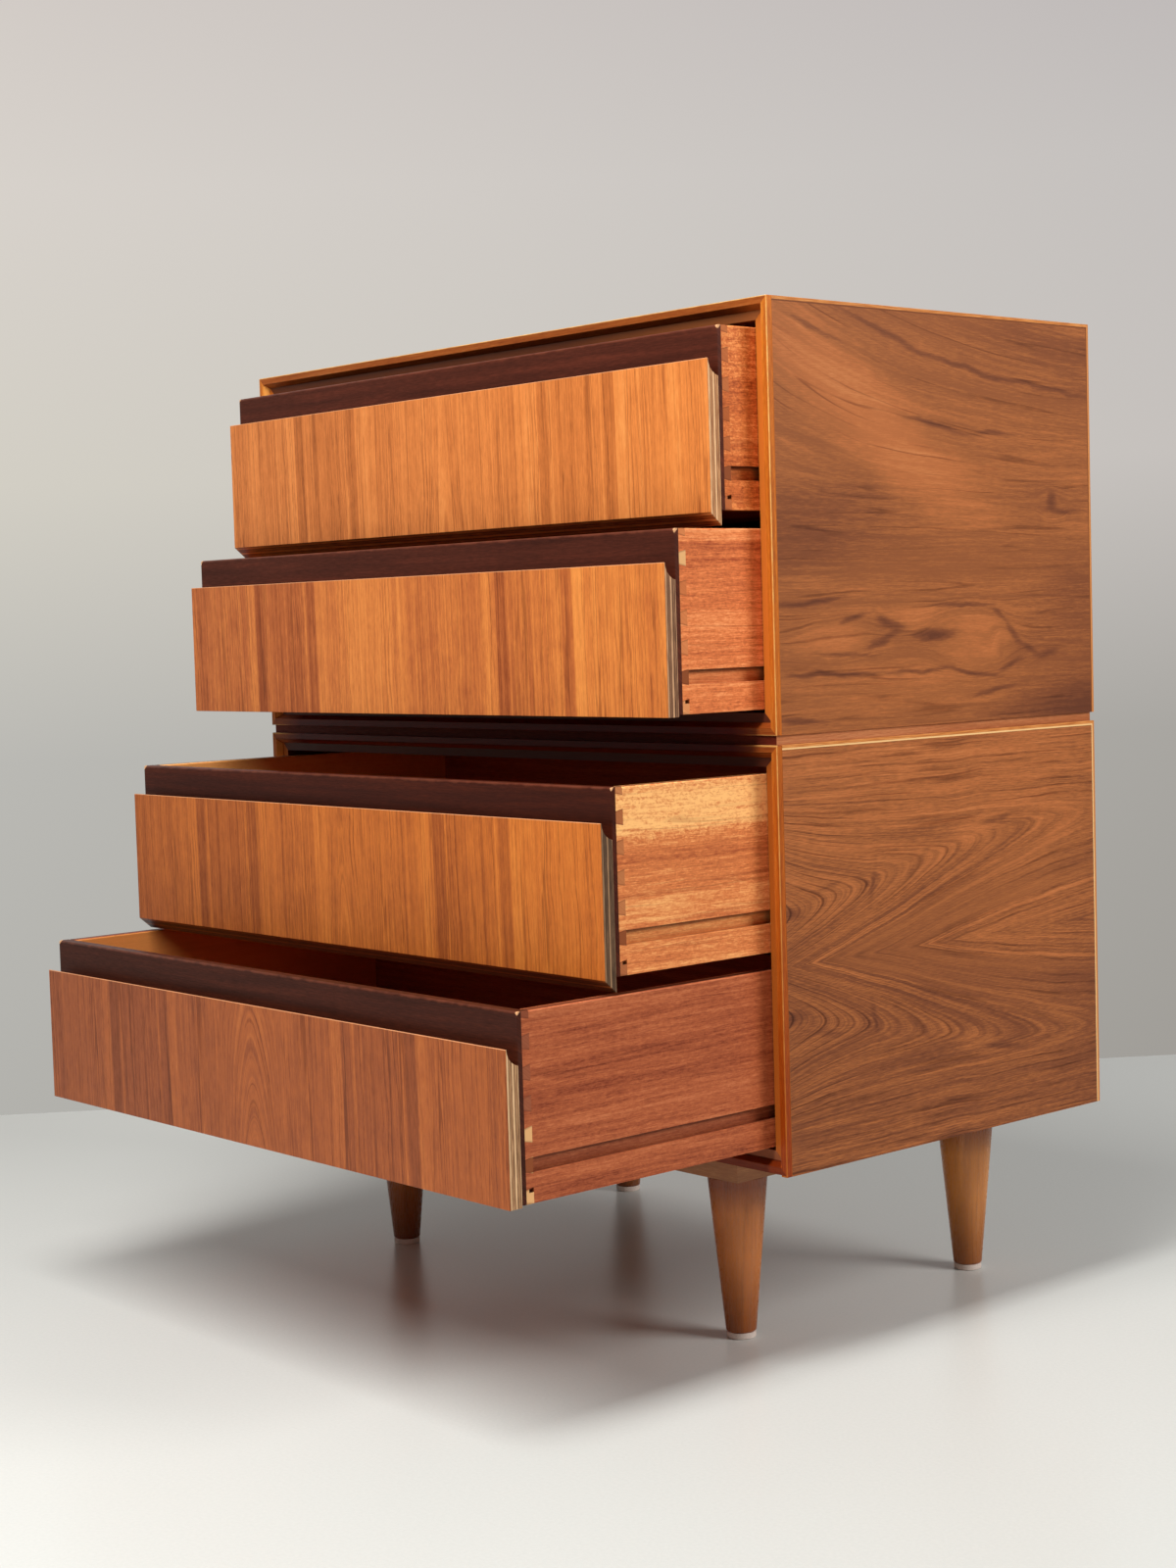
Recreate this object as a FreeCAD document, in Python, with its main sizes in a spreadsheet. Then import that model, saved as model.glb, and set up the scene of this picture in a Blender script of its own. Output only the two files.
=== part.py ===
import FreeCAD, Part
import os
import Sketcher

# Chest of four drawers: two stacked carcases, a recessed spacer frame between them and a
# frame with turned legs below. Millimetres. X runs across, the drawers open towards -Y, Z is
# up, and the origin is on the floor under the middle of the carcases. The drawers stand open
# in steps, the lowest one furthest.

doc = FreeCAD.newDocument("chest_of_drawers")
sheet = doc.addObject("Spreadsheet::Sheet", "Sizes")

driving_sizes = {
    # Carcases
    "width": 780,
    "depth": 452,
    "panel": 19.5,
    "top_gap": 6,
    "between_gap": 15.75,
    "bottom_gap": 3.25,
    "side_drop": 1.5,
    "rebate_width": 8,
    "back_thickness": 4,
    "back_inset": 2,
    "back_play": 0.5,
    # Moulded strips round the front of each carcase
    "edge_flat": 7,
    "edge_bevel": 4.5,
    "edge_depth": 6.4,
    # Spacer between the carcases
    "spacer_height": 8.5,
    "spacer_inset": 2.8,
    "spacer_strip": 24,
    # Leg frame
    "rail_height": 28.5,
    "rail_thickness": 16,
    "frame_side_inset": 100.6,
    "frame_front_inset": 37,
    "frame_back_inset": 27.2,
    "block_side": 44,
    "block_drop": 2,
    # Legs and the pads under them
    "leg_length": 149.5,
    "leg_top_radius": 28.5,
    "leg_foot_radius": 14.5,
    "leg_arris": 2.5,
    "spigot_radius": 9.5,
    "spigot_length": 24,
    "spigot_taper": 2,
    "spigot_play": 0.2,
    "glide_height": 6,
    "glide_radius": 14,
    "glide_arris": 1,
    # Drawer boxes
    "drawer_height": 158.75,
    "drawer_play": 0.7,
    "rear_space": 14,
    "front_thickness": 12.5,
    "side_thickness": 12,
    "lap": 4.5,
    "dovetail_pitch": 25.4,
    "pin_base": 14,
    "pin_tip": 10.5,
    "front_rounding": 2,
    "side_rounding": 1.5,
    "bottom_thickness": 3.8,
    "bottom_groove": 4,
    "bottom_groove_depth": 5,
    "bottom_height": 9.25,
    "bottom_play": 0.5,
    "back_board": 10,
    "back_board_drop": 6,
    "back_board_setback": 8,
    "housing_depth": 4,
    # Veneered panels on the drawer fronts
    "face_thickness": 13.5,
    "finger_drop": 29,
    "face_overhang": 2,
    "face_bevel": 11.5,
    "lip": 1.7,
    "cove_radius": 15,
    # Runners in the grooves of the drawer sides
    "runner_drop": 127,
    "runner_groove": 12.5,
    "runner_groove_depth": 6.3,
    "runner_height": 12,
    "runner_play": 0.5,
    "runner_start": 0.6,
    "runner_end_space": 16,
    "runner_nose": 3,
    # Wood screws
    "screw_radius": 1.75,
    "screw_length": 16,
    "screw_head_radius": 3.4,
    "screw_play": 0.15,
    "long_screw_length": 38,
    "screw_well": 2,
    "screw_well_radius": 4.5,
    # How far each drawer stands open, from the top one down
    "first_out": 60,
    "second_out": 117,
    "third_out": 197.5,
    "fourth_out": 307,
}

for line, (name, size) in enumerate(driving_sizes.items(), start=1):
    sheet.set(f"A{line}", name)
    sheet.set(f"B{line}", str(size))
    sheet.setAlias(f"B{line}", name)
doc.recompute()

# Places that several pieces share, as expressions on the sheet
half_width = "(Sizes.width / 2)"
front = "(-Sizes.depth / 2)"
rear = "(Sizes.depth / 2)"
facing = "(-Sizes.depth / 2 + Sizes.edge_depth)"
inner_face = "(Sizes.width / 2 - Sizes.panel)"
module_height = (
    "(2 * Sizes.panel + 2 * Sizes.drawer_height"
    " + Sizes.top_gap + Sizes.between_gap + Sizes.bottom_gap)"
)
frame_base = "(Sizes.glide_height + Sizes.leg_length)"
lower_base = f"({frame_base} + Sizes.rail_height)"
spacer_base = f"({lower_base} + {module_height})"
upper_base = f"({spacer_base} + Sizes.spacer_height)"
drawer_half = f"({inner_face} - Sizes.drawer_play)"
box_rear = "(Sizes.depth - Sizes.edge_depth - Sizes.rear_space - Sizes.back_thickness - Sizes.back_inset)"
joint_line = "(Sizes.face_thickness + Sizes.front_thickness)"

pieces = []
near_enough = 1e-6


def number(expression):
    """What an expression on the sheet comes to."""
    return float(sheet.evalExpression(expression))


def new_body(label, x="0", y="0", z="0", keep=True):
    """An empty body placed at x, y, z. Bodies that are kept are sub-parts of their own."""
    body = doc.addObject("PartDesign::Body", label)
    body.Label = label
    body.AllowCompound = True
    body.setExpression("Placement.Base.x", x)
    body.setExpression("Placement.Base.y", y)
    body.setExpression("Placement.Base.z", z)
    if keep:
        pieces.append(body)
    return body


def new_sketch(body, name, plane, lift):
    """A sketch on one of the body's own planes, lifted along that plane's normal."""
    sketch = body.newObject("Sketcher::SketchObject", name)
    origin_plane = next(f for f in body.Origin.OriginFeatures if f.Role == plane)
    sketch.AttachmentSupport = (origin_plane, [""])
    sketch.MapMode = "FlatFace"
    sketch.setExpression("AttachmentOffset.Base.z", lift)
    return sketch


def bind(sketch, kind, element, point, expression):
    """Ties one coordinate of a sketch point to an expression."""
    constraint = Sketcher.Constraint(kind, -1, 1, element, point, number(expression))
    index = sketch.addConstraint(constraint)
    sketch.setExpression(f"Constraints[{index}]", expression)


def add_outline(sketch, points):
    """A closed outline whose corners are pairs of expressions."""
    corners = [FreeCAD.Vector(number(a), number(b), 0) for a, b in points]
    count = len(points)
    first = sketch.GeometryCount
    for i in range(count):
        sketch.addGeometry(Part.LineSegment(corners[i], corners[(i + 1) % count]))
    for i in range(count):
        following = first + (i + 1) % count
        sketch.addConstraint(Sketcher.Constraint("Coincident", first + i, 2, following, 1))
    for i, (a, b) in enumerate(points):
        bind(sketch, "DistanceX", first + i, 1, a)
        bind(sketch, "DistanceY", first + i, 1, b)


def add_circle(sketch, across, up, radius):
    """A circle whose centre and radius are expressions."""
    centre = FreeCAD.Vector(number(across), number(up), 0)
    circle = Part.Circle(centre, FreeCAD.Vector(0, 0, 1), number(radius))
    element = sketch.addGeometry(circle)
    index = sketch.addConstraint(Sketcher.Constraint("Radius", element, number(radius)))
    sketch.setExpression(f"Constraints[{index}]", radius)
    bind(sketch, "DistanceX", element, 3, across)
    bind(sketch, "DistanceY", element, 3, up)


def box_outline(low_a, high_a, low_b, high_b):
    """The four corners of a rectangle."""
    return [(low_a, low_b), (high_a, low_b), (high_a, high_b), (low_a, high_b)]


def pad(body, name, plane, outlines, length, lift="0", middle=False, circles=()):
    """Adds material: outlines and circles on a lifted plane, drawn out along its normal."""
    sketch = new_sketch(body, name + "_sketch", plane, lift)
    for points in outlines:
        add_outline(sketch, points)
    for circle in circles:
        add_circle(sketch, *circle)
    feature = body.newObject("PartDesign::Pad", name)
    feature.Profile = sketch
    feature.setExpression("Length", length)
    feature.Midplane = middle
    sketch.Visibility = False
    return feature


def pocket(body, name, plane, outlines, length=None, lift="0", along=False, circles=()):
    """Cuts material away, against the plane's normal or along it, or right through."""
    doc.recompute()
    before = body.Shape.Volume
    sketch = new_sketch(body, name + "_sketch", plane, lift)
    for points in outlines:
        add_outline(sketch, points)
    for circle in circles:
        add_circle(sketch, *circle)
    feature = body.newObject("PartDesign::Pocket", name)
    feature.Profile = sketch
    if length is None:
        feature.Type = "ThroughAll"
        feature.Midplane = True
    else:
        feature.setExpression("Length", length)
        feature.Reversed = along
    sketch.Visibility = False
    doc.recompute()
    if not body.Shape.Volume < before:
        raise RuntimeError(f"{name} of {body.Label} cuts nothing")
    return feature


def soften(body, name, kind, size_name, expression, wanted):
    """Rounds or chamfers the edges that the test picks."""
    doc.recompute()
    base = body.Tip
    edges = [f"Edge{i}" for i, e in enumerate(base.Shape.Edges, start=1) if wanted(e)]
    if not edges:
        raise RuntimeError(f"{name} of {body.Label} finds no edge")
    feature = body.newObject(kind, name)
    feature.Base = (base, edges)
    feature.setExpression(size_name, expression)
    return feature


def same(a, b):
    """Whether two lengths agree."""
    return abs(a - b) < near_enough


screw_hole_radius = "Sizes.screw_radius + Sizes.screw_play"
head_depth = "Sizes.screw_head_radius - Sizes.screw_radius"
countersink_angle = 45


def screws(body, name, plane, places, level, length, against=False):
    """Countersunk screws whose heads lie level with a plane, along its normal or against it."""
    shanks = pad(body, name + "_shanks", plane, [], length, level,
                 circles=[(a, b, "Sizes.screw_radius") for a, b in places])
    heads = pad(body, name + "_heads", plane, [], head_depth, level,
                circles=[(a, b, "Sizes.screw_head_radius") for a, b in places])
    heads.TaperAngle = -countersink_angle
    shanks.Reversed = against
    heads.Reversed = against


def countersinks(body, name, plane, places, level, along=False):
    """Holes right through a piece, with countersinks in the face where the heads lie."""
    pocket(body, name + "_holes", plane, [], circles=[(a, b, screw_hole_radius) for a, b in places])
    heads = [(a, b, "Sizes.screw_head_radius + Sizes.screw_play") for a, b in places]
    sinks = pocket(body, name + "_sinks", plane, [], head_depth, level, along, heads)
    sinks.TaperAngle = -countersink_angle


# Carcases
# Each is four veneered panels with rebated mitres at the corners: the outer layer of a side
# runs up past the end of the top. A thin back sits in rebates, and a moulded strip is glued
# round the front, flush with the outside.

rebate_depth = "(Sizes.back_thickness + Sizes.back_inset)"
rebate_line = f"({half_width} - Sizes.panel + Sizes.rebate_width)"
strip_width = "(Sizes.edge_flat + Sizes.edge_bevel)"


def runner_height_at(base_of_side):
    """Middle of the runner above the module's base, for a drawer side that starts there."""
    return f"({base_of_side} + Sizes.drawer_height - Sizes.runner_drop)"


bottom_side_base = "(Sizes.panel + Sizes.bottom_gap)"
top_side_base = f"({bottom_side_base} + Sizes.drawer_height + Sizes.between_gap)"
side_bases = {"top": top_side_base, "bottom": bottom_side_base}

runner_front = f"({facing} + {joint_line} + Sizes.runner_start)"
runner_rear = f"({rear} - {rebate_depth} - Sizes.runner_end_space)"
runner_width = "(Sizes.drawer_play + Sizes.runner_groove_depth - Sizes.runner_play)"
screw_place_shares = (0.08, 0.5, 0.92)


def runner_screw_places(heights):
    """Middles of the runner screws, along Y and up, for runners at these heights."""
    return [
        (f"({runner_front} + ({runner_rear} - {runner_front}) * {share})", height)
        for height in heights
        for share in screw_place_shares
    ]


def side_panel(label, sign, base, drop):
    """A side of a carcase. Its outer layer runs past the mitres, and down by drop."""
    outer = f"({sign} * {half_width})"
    lapped = f"({sign} * ({half_width} - Sizes.edge_flat))"
    inner = f"({sign} * {inner_face})"
    body = new_body(label, z=base)
    outline = [
        (outer, f"-{drop}"),
        (outer, module_height),
        (lapped, module_height),
        (lapped, f"{module_height} - Sizes.edge_flat"),
        (inner, f"{module_height} - Sizes.panel"),
        (inner, "Sizes.panel"),
        (lapped, "Sizes.edge_flat"),
        (lapped, f"-{drop}"),
    ]
    pad(body, label + "_board", "XZ_Plane", [outline], f"{rear} - {facing}", f"-{rear}")
    rebate = box_outline(inner, f"({sign} * {rebate_line})", "0", module_height)
    pocket(body, label + "_rebate", "XZ_Plane", [rebate], rebate_depth, f"-{rear}", along=True)
    places = runner_screw_places([runner_height_at(b) for b in side_bases.values()])
    holes = [(y, z, screw_hole_radius) for y, z in places]
    depth = f"Sizes.screw_length - {runner_width} + Sizes.screw_play"
    pocket(body, label + "_pilots", "YZ_Plane", [], depth, inner, along=sign > 0, circles=holes)


def flat_panel(label, base, is_top):
    """The top or bottom of a carcase, between the outer layers of the sides."""
    lapped = f"({half_width} - Sizes.edge_flat)"
    if is_top:
        outside = module_height
        lap_line = f"({module_height} - Sizes.edge_flat)"
        inside = f"({module_height} - Sizes.panel)"
        rebated = f"({module_height} - Sizes.panel + Sizes.rebate_width)"
    else:
        outside = "0"
        lap_line = "Sizes.edge_flat"
        inside = "Sizes.panel"
        rebated = "(Sizes.panel - Sizes.rebate_width)"
    body = new_body(label, z=base)
    outline = [
        (f"-{lapped}", outside),
        (lapped, outside),
        (lapped, lap_line),
        (inner_face, inside),
        (f"-{inner_face}", inside),
        (f"-{lapped}", lap_line),
    ]
    pad(body, label + "_board", "XZ_Plane", [outline], f"{rear} - {facing}", f"-{rear}")
    rebate = box_outline(f"-{half_width}", half_width, inside, rebated)
    pocket(body, label + "_rebate", "XZ_Plane", [rebate], rebate_depth, f"-{rear}", along=True)
    return body


def front_edging(label, base, drop):
    """Four moulded strips: a flat front, then a bevel back to the panel, mitred at the bevel."""
    strips = []
    for sign, side in ((-1, "left"), (1, "right")):
        outer = f"({sign} * {half_width})"
        lapped = f"({sign} * ({half_width} - Sizes.edge_flat))"
        inner = f"({sign} * ({half_width} - {strip_width}))"
        strip = new_body(f"{label}_{side}", z=base, keep=False)
        outline = [
            (outer, f"-{drop}"),
            (outer, module_height),
            (lapped, module_height),
            (lapped, f"{module_height} - Sizes.edge_flat"),
            (inner, f"{module_height} - {strip_width}"),
            (inner, strip_width),
            (lapped, "Sizes.edge_flat"),
            (lapped, f"-{drop}"),
        ]
        pad(strip, f"{label}_{side}_strip", "XZ_Plane", [outline], "Sizes.edge_depth", f"-{facing}")
        bevel = [(lapped, front), (inner, facing), (inner, front)]
        pocket(strip, f"{label}_{side}_bevel", "XY_Plane", [bevel])
        strips.append(strip)
    for side in ("top", "bottom"):
        if side == "top":
            levels = [f"({module_height} - {inwards})" for inwards in ("0", "Sizes.edge_flat", strip_width)]
        else:
            levels = ["0", "Sizes.edge_flat", strip_width]
        outside, lap_line, inside = levels
        lapped = f"({half_width} - Sizes.edge_flat)"
        inner = f"({half_width} - {strip_width})"
        strip = new_body(f"{label}_{side}", z=base, keep=False)
        outline = [
            (f"-{lapped}", outside),
            (lapped, outside),
            (lapped, lap_line),
            (inner, inside),
            (f"-{inner}", inside),
            (f"-{lapped}", lap_line),
        ]
        pad(strip, f"{label}_{side}_strip", "XZ_Plane", [outline], "Sizes.edge_depth", f"-{facing}")
        bevel = [(front, lap_line), (facing, inside), (front, inside)]
        pocket(strip, f"{label}_{side}_bevel", "YZ_Plane", [bevel])
        strips.append(strip)
    group = doc.addObject("Part::Compound", label)
    group.Label = label
    group.Links = strips
    pieces.append(group)


def back_panel(label, base):
    """A thin back in the rebates of the four panels."""
    reach = f"({rebate_line} - Sizes.back_play)"
    low = "(Sizes.panel - Sizes.rebate_width + Sizes.back_play)"
    high = f"({module_height} - {low})"
    body = new_body(label, z=base)
    outline = box_outline(f"-{reach}", reach, low, high)
    pad(body, label + "_sheet", "XZ_Plane", [outline], "Sizes.back_thickness",
        f"-({rear} - Sizes.back_inset)")


def runner(label, sign, base, middle):
    """A hardwood runner screwed to the side, with a slanted nose where the drawer meets it."""
    wall = f"({sign} * {inner_face})"
    face = f"({sign} * ({inner_face} - {runner_width}))"
    nose = f"({sign} * ({inner_face} - {runner_width} + Sizes.runner_nose))"
    low = f"({middle} - Sizes.runner_height / 2)"
    body = new_body(label, z=base)
    outline = [
        (wall, runner_front),
        (nose, runner_front),
        (face, f"{runner_front} + Sizes.runner_nose"),
        (face, runner_rear),
        (wall, runner_rear),
    ]
    pad(body, label + "_bar", "XY_Plane", [outline], "Sizes.runner_height", low)
    countersinks(body, label, "YZ_Plane", runner_screw_places([middle]), face, along=sign > 0)


carcases = {"upper": (upper_base, "0"), "lower": (lower_base, "Sizes.side_drop")}
panels = {}

for carcase, (base, drop) in carcases.items():
    side_panel(f"{carcase}_left_side", -1, base, drop)
    side_panel(f"{carcase}_right_side", 1, base, drop)
    panels[f"{carcase}_top"] = flat_panel(f"{carcase}_top", base, True)
    panels[f"{carcase}_bottom"] = flat_panel(f"{carcase}_bottom", base, False)
    back_panel(f"{carcase}_back", base)
    front_edging(f"{carcase}_front_edging", base, drop)
    for place, base_of_side in side_bases.items():
        for sign, side in ((-1, "left"), (1, "right")):
            runner(f"{carcase}_{place}_{side}_runner", sign, base, runner_height_at(base_of_side))

runner_screws = new_body("runner_screws")
screwed_heights = [
    f"({base} + {runner_height_at(base_of_side)})"
    for base, drop in carcases.values()
    for base_of_side in side_bases.values()
]
for sign, side in ((-1, "left"), (1, "right")):
    head_level = f"({sign} * ({inner_face} - {runner_width}))"
    screws(runner_screws, f"{side}_runner_screws", "YZ_Plane", runner_screw_places(screwed_heights),
           head_level, "Sizes.screw_length", against=sign < 0)


# Spacer and leg frame
# Both are rectangles of four strips, mitred at the corners.


def mitred_frame(label, half_across, near, far, strip, height, base):
    """Four strips between half_across on each side and near and far along Y."""
    outer = [(f"-{half_across}", near), (half_across, near), (half_across, far), (f"-{half_across}", far)]
    inner = [
        (f"-({half_across} - {strip})", f"({near} + {strip})"),
        (f"({half_across} - {strip})", f"({near} + {strip})"),
        (f"({half_across} - {strip})", f"({far} - {strip})"),
        (f"-({half_across} - {strip})", f"({far} - {strip})"),
    ]
    strips = {}
    for i, side in enumerate(("front", "right", "back", "left")):
        following = (i + 1) % len(outer)
        body = new_body(f"{label}_{side}", z=base)
        outline = [outer[i], outer[following], inner[following], inner[i]]
        pad(body, f"{label}_{side}_strip", "XY_Plane", [outline], height)
        strips[side] = body
    return strips


spacer_half = f"({half_width} - Sizes.spacer_inset)"
spacer_front = f"({front} + Sizes.spacer_inset)"
spacer_rear = f"({rear} - Sizes.spacer_inset)"
spacer = mitred_frame("spacer", spacer_half, spacer_front, spacer_rear,
                      "Sizes.spacer_strip", "Sizes.spacer_height", spacer_base)

# Four screws go down through the upper carcase's bottom and the spacer into the lower one's top.

carcase_screw_share = 0.6
strip_middles = {
    "front": f"({spacer_front} + Sizes.spacer_strip / 2)",
    "back": f"({spacer_rear} - Sizes.spacer_strip / 2)",
}
assembly_screws = new_body("assembly_screws")
screw_rows = {
    side: [(f"({sign} * {carcase_screw_share} * {half_width})", y) for sign in (-1, 1)]
    for side, y in strip_middles.items()
}
screw_places = [place for row in screw_rows.values() for place in row]
screws(assembly_screws, "carcase_screws", "XY_Plane", screw_places, f"{upper_base} + Sizes.panel",
       "Sizes.long_screw_length", against=True)
countersinks(panels["upper_bottom"], "upper_bottom", "XY_Plane", screw_places, "Sizes.panel")
for side, row in screw_rows.items():
    pocket(spacer[side], f"spacer_{side}_holes", "XY_Plane", [],
           circles=[(x, y, screw_hole_radius) for x, y in row])
bite = "(Sizes.long_screw_length - Sizes.panel - Sizes.spacer_height)"
pocket(panels["lower_top"], "lower_top_pilots", "XY_Plane", [], f"{bite} + Sizes.screw_play",
       module_height, circles=[(x, y, screw_hole_radius) for x, y in screw_places])

frame_half = f"({half_width} - Sizes.frame_side_inset)"
frame_front = f"({front} + Sizes.frame_front_inset)"
frame_rear = f"({rear} - Sizes.frame_back_inset)"
leg_frame = mitred_frame("leg_frame", frame_half, frame_front, frame_rear,
                         "Sizes.rail_thickness", "Sizes.rail_height", frame_base)

# Screws in wells hold the frame up against the lower carcase's bottom.

rail_screw_shares = (-0.6, 0, 0.6)
side_rail_middle = f"({frame_half} - Sizes.rail_thickness / 2)"
rail_screws = {
    "front": [
        (f"({share} * {frame_half})", f"({frame_front} + Sizes.rail_thickness / 2)")
        for share in rail_screw_shares
    ],
    "back": [
        (f"({share} * {frame_half})", f"({frame_rear} - Sizes.rail_thickness / 2)")
        for share in rail_screw_shares
    ],
    "left": [(f"(-{side_rail_middle})", f"(({frame_front} + {frame_rear}) / 2)")],
    "right": [(side_rail_middle, f"(({frame_front} + {frame_rear}) / 2)")],
}
screw_places = [place for row in rail_screws.values() for place in row]
screws(assembly_screws, "frame_screws", "XY_Plane", screw_places, f"{frame_base} + Sizes.screw_well",
       "Sizes.long_screw_length")
for side, row in rail_screws.items():
    countersinks(leg_frame[side], f"leg_frame_{side}", "XY_Plane", row, "Sizes.screw_well", along=True)
    pocket(leg_frame[side], f"leg_frame_{side}_wells", "XY_Plane", [], "Sizes.screw_well",
           along=True, circles=[(x, y, "Sizes.screw_well_radius") for x, y in row])
bite = "(Sizes.screw_well + Sizes.long_screw_length - Sizes.rail_height)"
pocket(panels["lower_bottom"], "lower_bottom_pilots", "XY_Plane", [], f"{bite} + Sizes.screw_play",
       along=True, circles=[(x, y, screw_hole_radius) for x, y in screw_places])

# The legs stand under the frame's corners, their rims level with its outside. A spigot on
# each goes up into a block glued in the corner.

leg_x = f"({frame_half} - Sizes.leg_top_radius)"
leg_front_y = f"({frame_front} + Sizes.leg_top_radius)"
leg_rear_y = f"({frame_rear} - Sizes.leg_top_radius)"
leg_places = {
    "front_left": (f"(-{leg_x})", leg_front_y),
    "front_right": (leg_x, leg_front_y),
    "rear_left": (f"(-{leg_x})", leg_rear_y),
    "rear_right": (leg_x, leg_rear_y),
}

blocks = new_body("frame_corner_blocks", z=f"{frame_base} + Sizes.block_drop")
block_outlines = []
for sign in (-1, 1):
    corner_x = f"({sign} * ({frame_half} - Sizes.rail_thickness))"
    inside_x = f"({sign} * ({frame_half} - Sizes.rail_thickness - Sizes.block_side))"
    near = f"({frame_front} + Sizes.rail_thickness)"
    far = f"({frame_rear} - Sizes.rail_thickness)"
    block_outlines.append(box_outline(corner_x, inside_x, near, f"({near} + Sizes.block_side)"))
    block_outlines.append(box_outline(corner_x, inside_x, f"({far} - Sizes.block_side)", far))
spigot_holes = [(x, y, "Sizes.spigot_radius + Sizes.spigot_play") for x, y in leg_places.values()]
pad(blocks, "corner_block_squares", "XY_Plane", block_outlines, "Sizes.rail_height - Sizes.block_drop",
    circles=spigot_holes)

for place, (x, y) in leg_places.items():
    leg = new_body(f"{place}_leg", x, y, "Sizes.glide_height")
    section = new_sketch(leg, f"{place}_leg_section", "XZ_Plane", "0")
    spigot_top = "(Sizes.leg_length + Sizes.spigot_length)"
    add_outline(section, [
        ("0", "0"),
        ("Sizes.leg_foot_radius", "0"),
        ("Sizes.leg_top_radius", "Sizes.leg_length"),
        ("Sizes.spigot_radius", "Sizes.leg_length"),
        ("Sizes.spigot_radius", f"{spigot_top} - Sizes.spigot_taper"),
        ("Sizes.spigot_radius - Sizes.spigot_taper / 2", spigot_top),
        ("0", spigot_top),
    ])
    turning = leg.newObject("PartDesign::Revolution", f"{place}_leg_turning")
    turning.Profile = section
    turning.ReferenceAxis = (section, ["V_Axis"])
    turning.Angle = 360
    soften(leg, f"{place}_leg_foot", "PartDesign::Fillet", "Radius", "Sizes.leg_arris",
           lambda edge: same(edge.BoundBox.ZMax, 0) and edge.Closed)

glides = new_body("foot_glides")
pad(glides, "glide_discs", "XY_Plane", [], "Sizes.glide_height",
    circles=[(x, y, "Sizes.glide_radius") for x, y in leg_places.values()])
soften(glides, "glide_rims", "PartDesign::Chamfer", "Size", "Sizes.glide_arris",
       lambda edge: same(edge.BoundBox.ZMax, 0) and edge.Closed)


# Drawers
# A box with half-blind dovetails at the front, a bottom in grooves and a back in housings.
# The box hangs on its runners by a groove in each side. A veneered panel is fixed to its
# front, lower than the box front: a cove behind its top lip takes the fingers.
# Each piece is drawn with Y from the panel's face backwards and Z from the sides' lower edge.

tail_count = 6
groove_middle = "(Sizes.drawer_height - Sizes.runner_drop)"
groove_low = f"({groove_middle} - Sizes.runner_groove / 2)"
groove_high = f"({groove_middle} + Sizes.runner_groove / 2)"
bottom_low = "Sizes.bottom_height"
bottom_high = "(Sizes.bottom_height + Sizes.bottom_groove)"
inner_half = f"({drawer_half} - Sizes.side_thickness)"
board_rear = f"({box_rear} - Sizes.back_board_setback)"
board_front = f"({board_rear} - Sizes.back_board)"
board_top = "(Sizes.drawer_height - Sizes.back_board_drop)"
tail_tip = "(Sizes.face_thickness + Sizes.lap)"


def tail(k):
    """One dovetail, the kth from the top, as the corners of its outline in Y and Z."""
    above = f"(Sizes.drawer_height - {k} * Sizes.dovetail_pitch)"
    below = f"(Sizes.drawer_height - {k + 1} * Sizes.dovetail_pitch)"
    return [
        (joint_line, f"{above} - Sizes.pin_base / 2"),
        (tail_tip, f"{above} - Sizes.pin_tip / 2"),
        (tail_tip, f"{below} + Sizes.pin_tip / 2"),
        (joint_line, f"{below} + Sizes.pin_base / 2"),
    ]


tails = [tail(k) for k in range(tail_count)]


def box_front(label, place):
    """The board behind the veneered panel, with sockets for the tails in both ends."""
    body = new_body(label, **place)
    board = box_outline(f"-{drawer_half}", drawer_half, "0", "Sizes.drawer_height")
    pad(body, label + "_board", "XZ_Plane", [board], "Sizes.front_thickness", f"-{joint_line}")
    soften(body, label + "_top_edges", "PartDesign::Fillet", "Radius", "Sizes.front_rounding",
           lambda edge: same(edge.BoundBox.ZMin, number("Sizes.drawer_height"))
           and edge.BoundBox.XLength > edge.BoundBox.YLength)
    groove = box_outline(f"({joint_line} - Sizes.bottom_groove_depth)", joint_line, bottom_low, bottom_high)
    pocket(body, label + "_groove", "YZ_Plane", [groove])
    pocket(body, label + "_right_sockets", "YZ_Plane", tails, "Sizes.side_thickness", drawer_half)
    pocket(body, label + "_left_sockets", "YZ_Plane", tails, "Sizes.side_thickness",
           f"-{drawer_half}", along=True)


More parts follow.
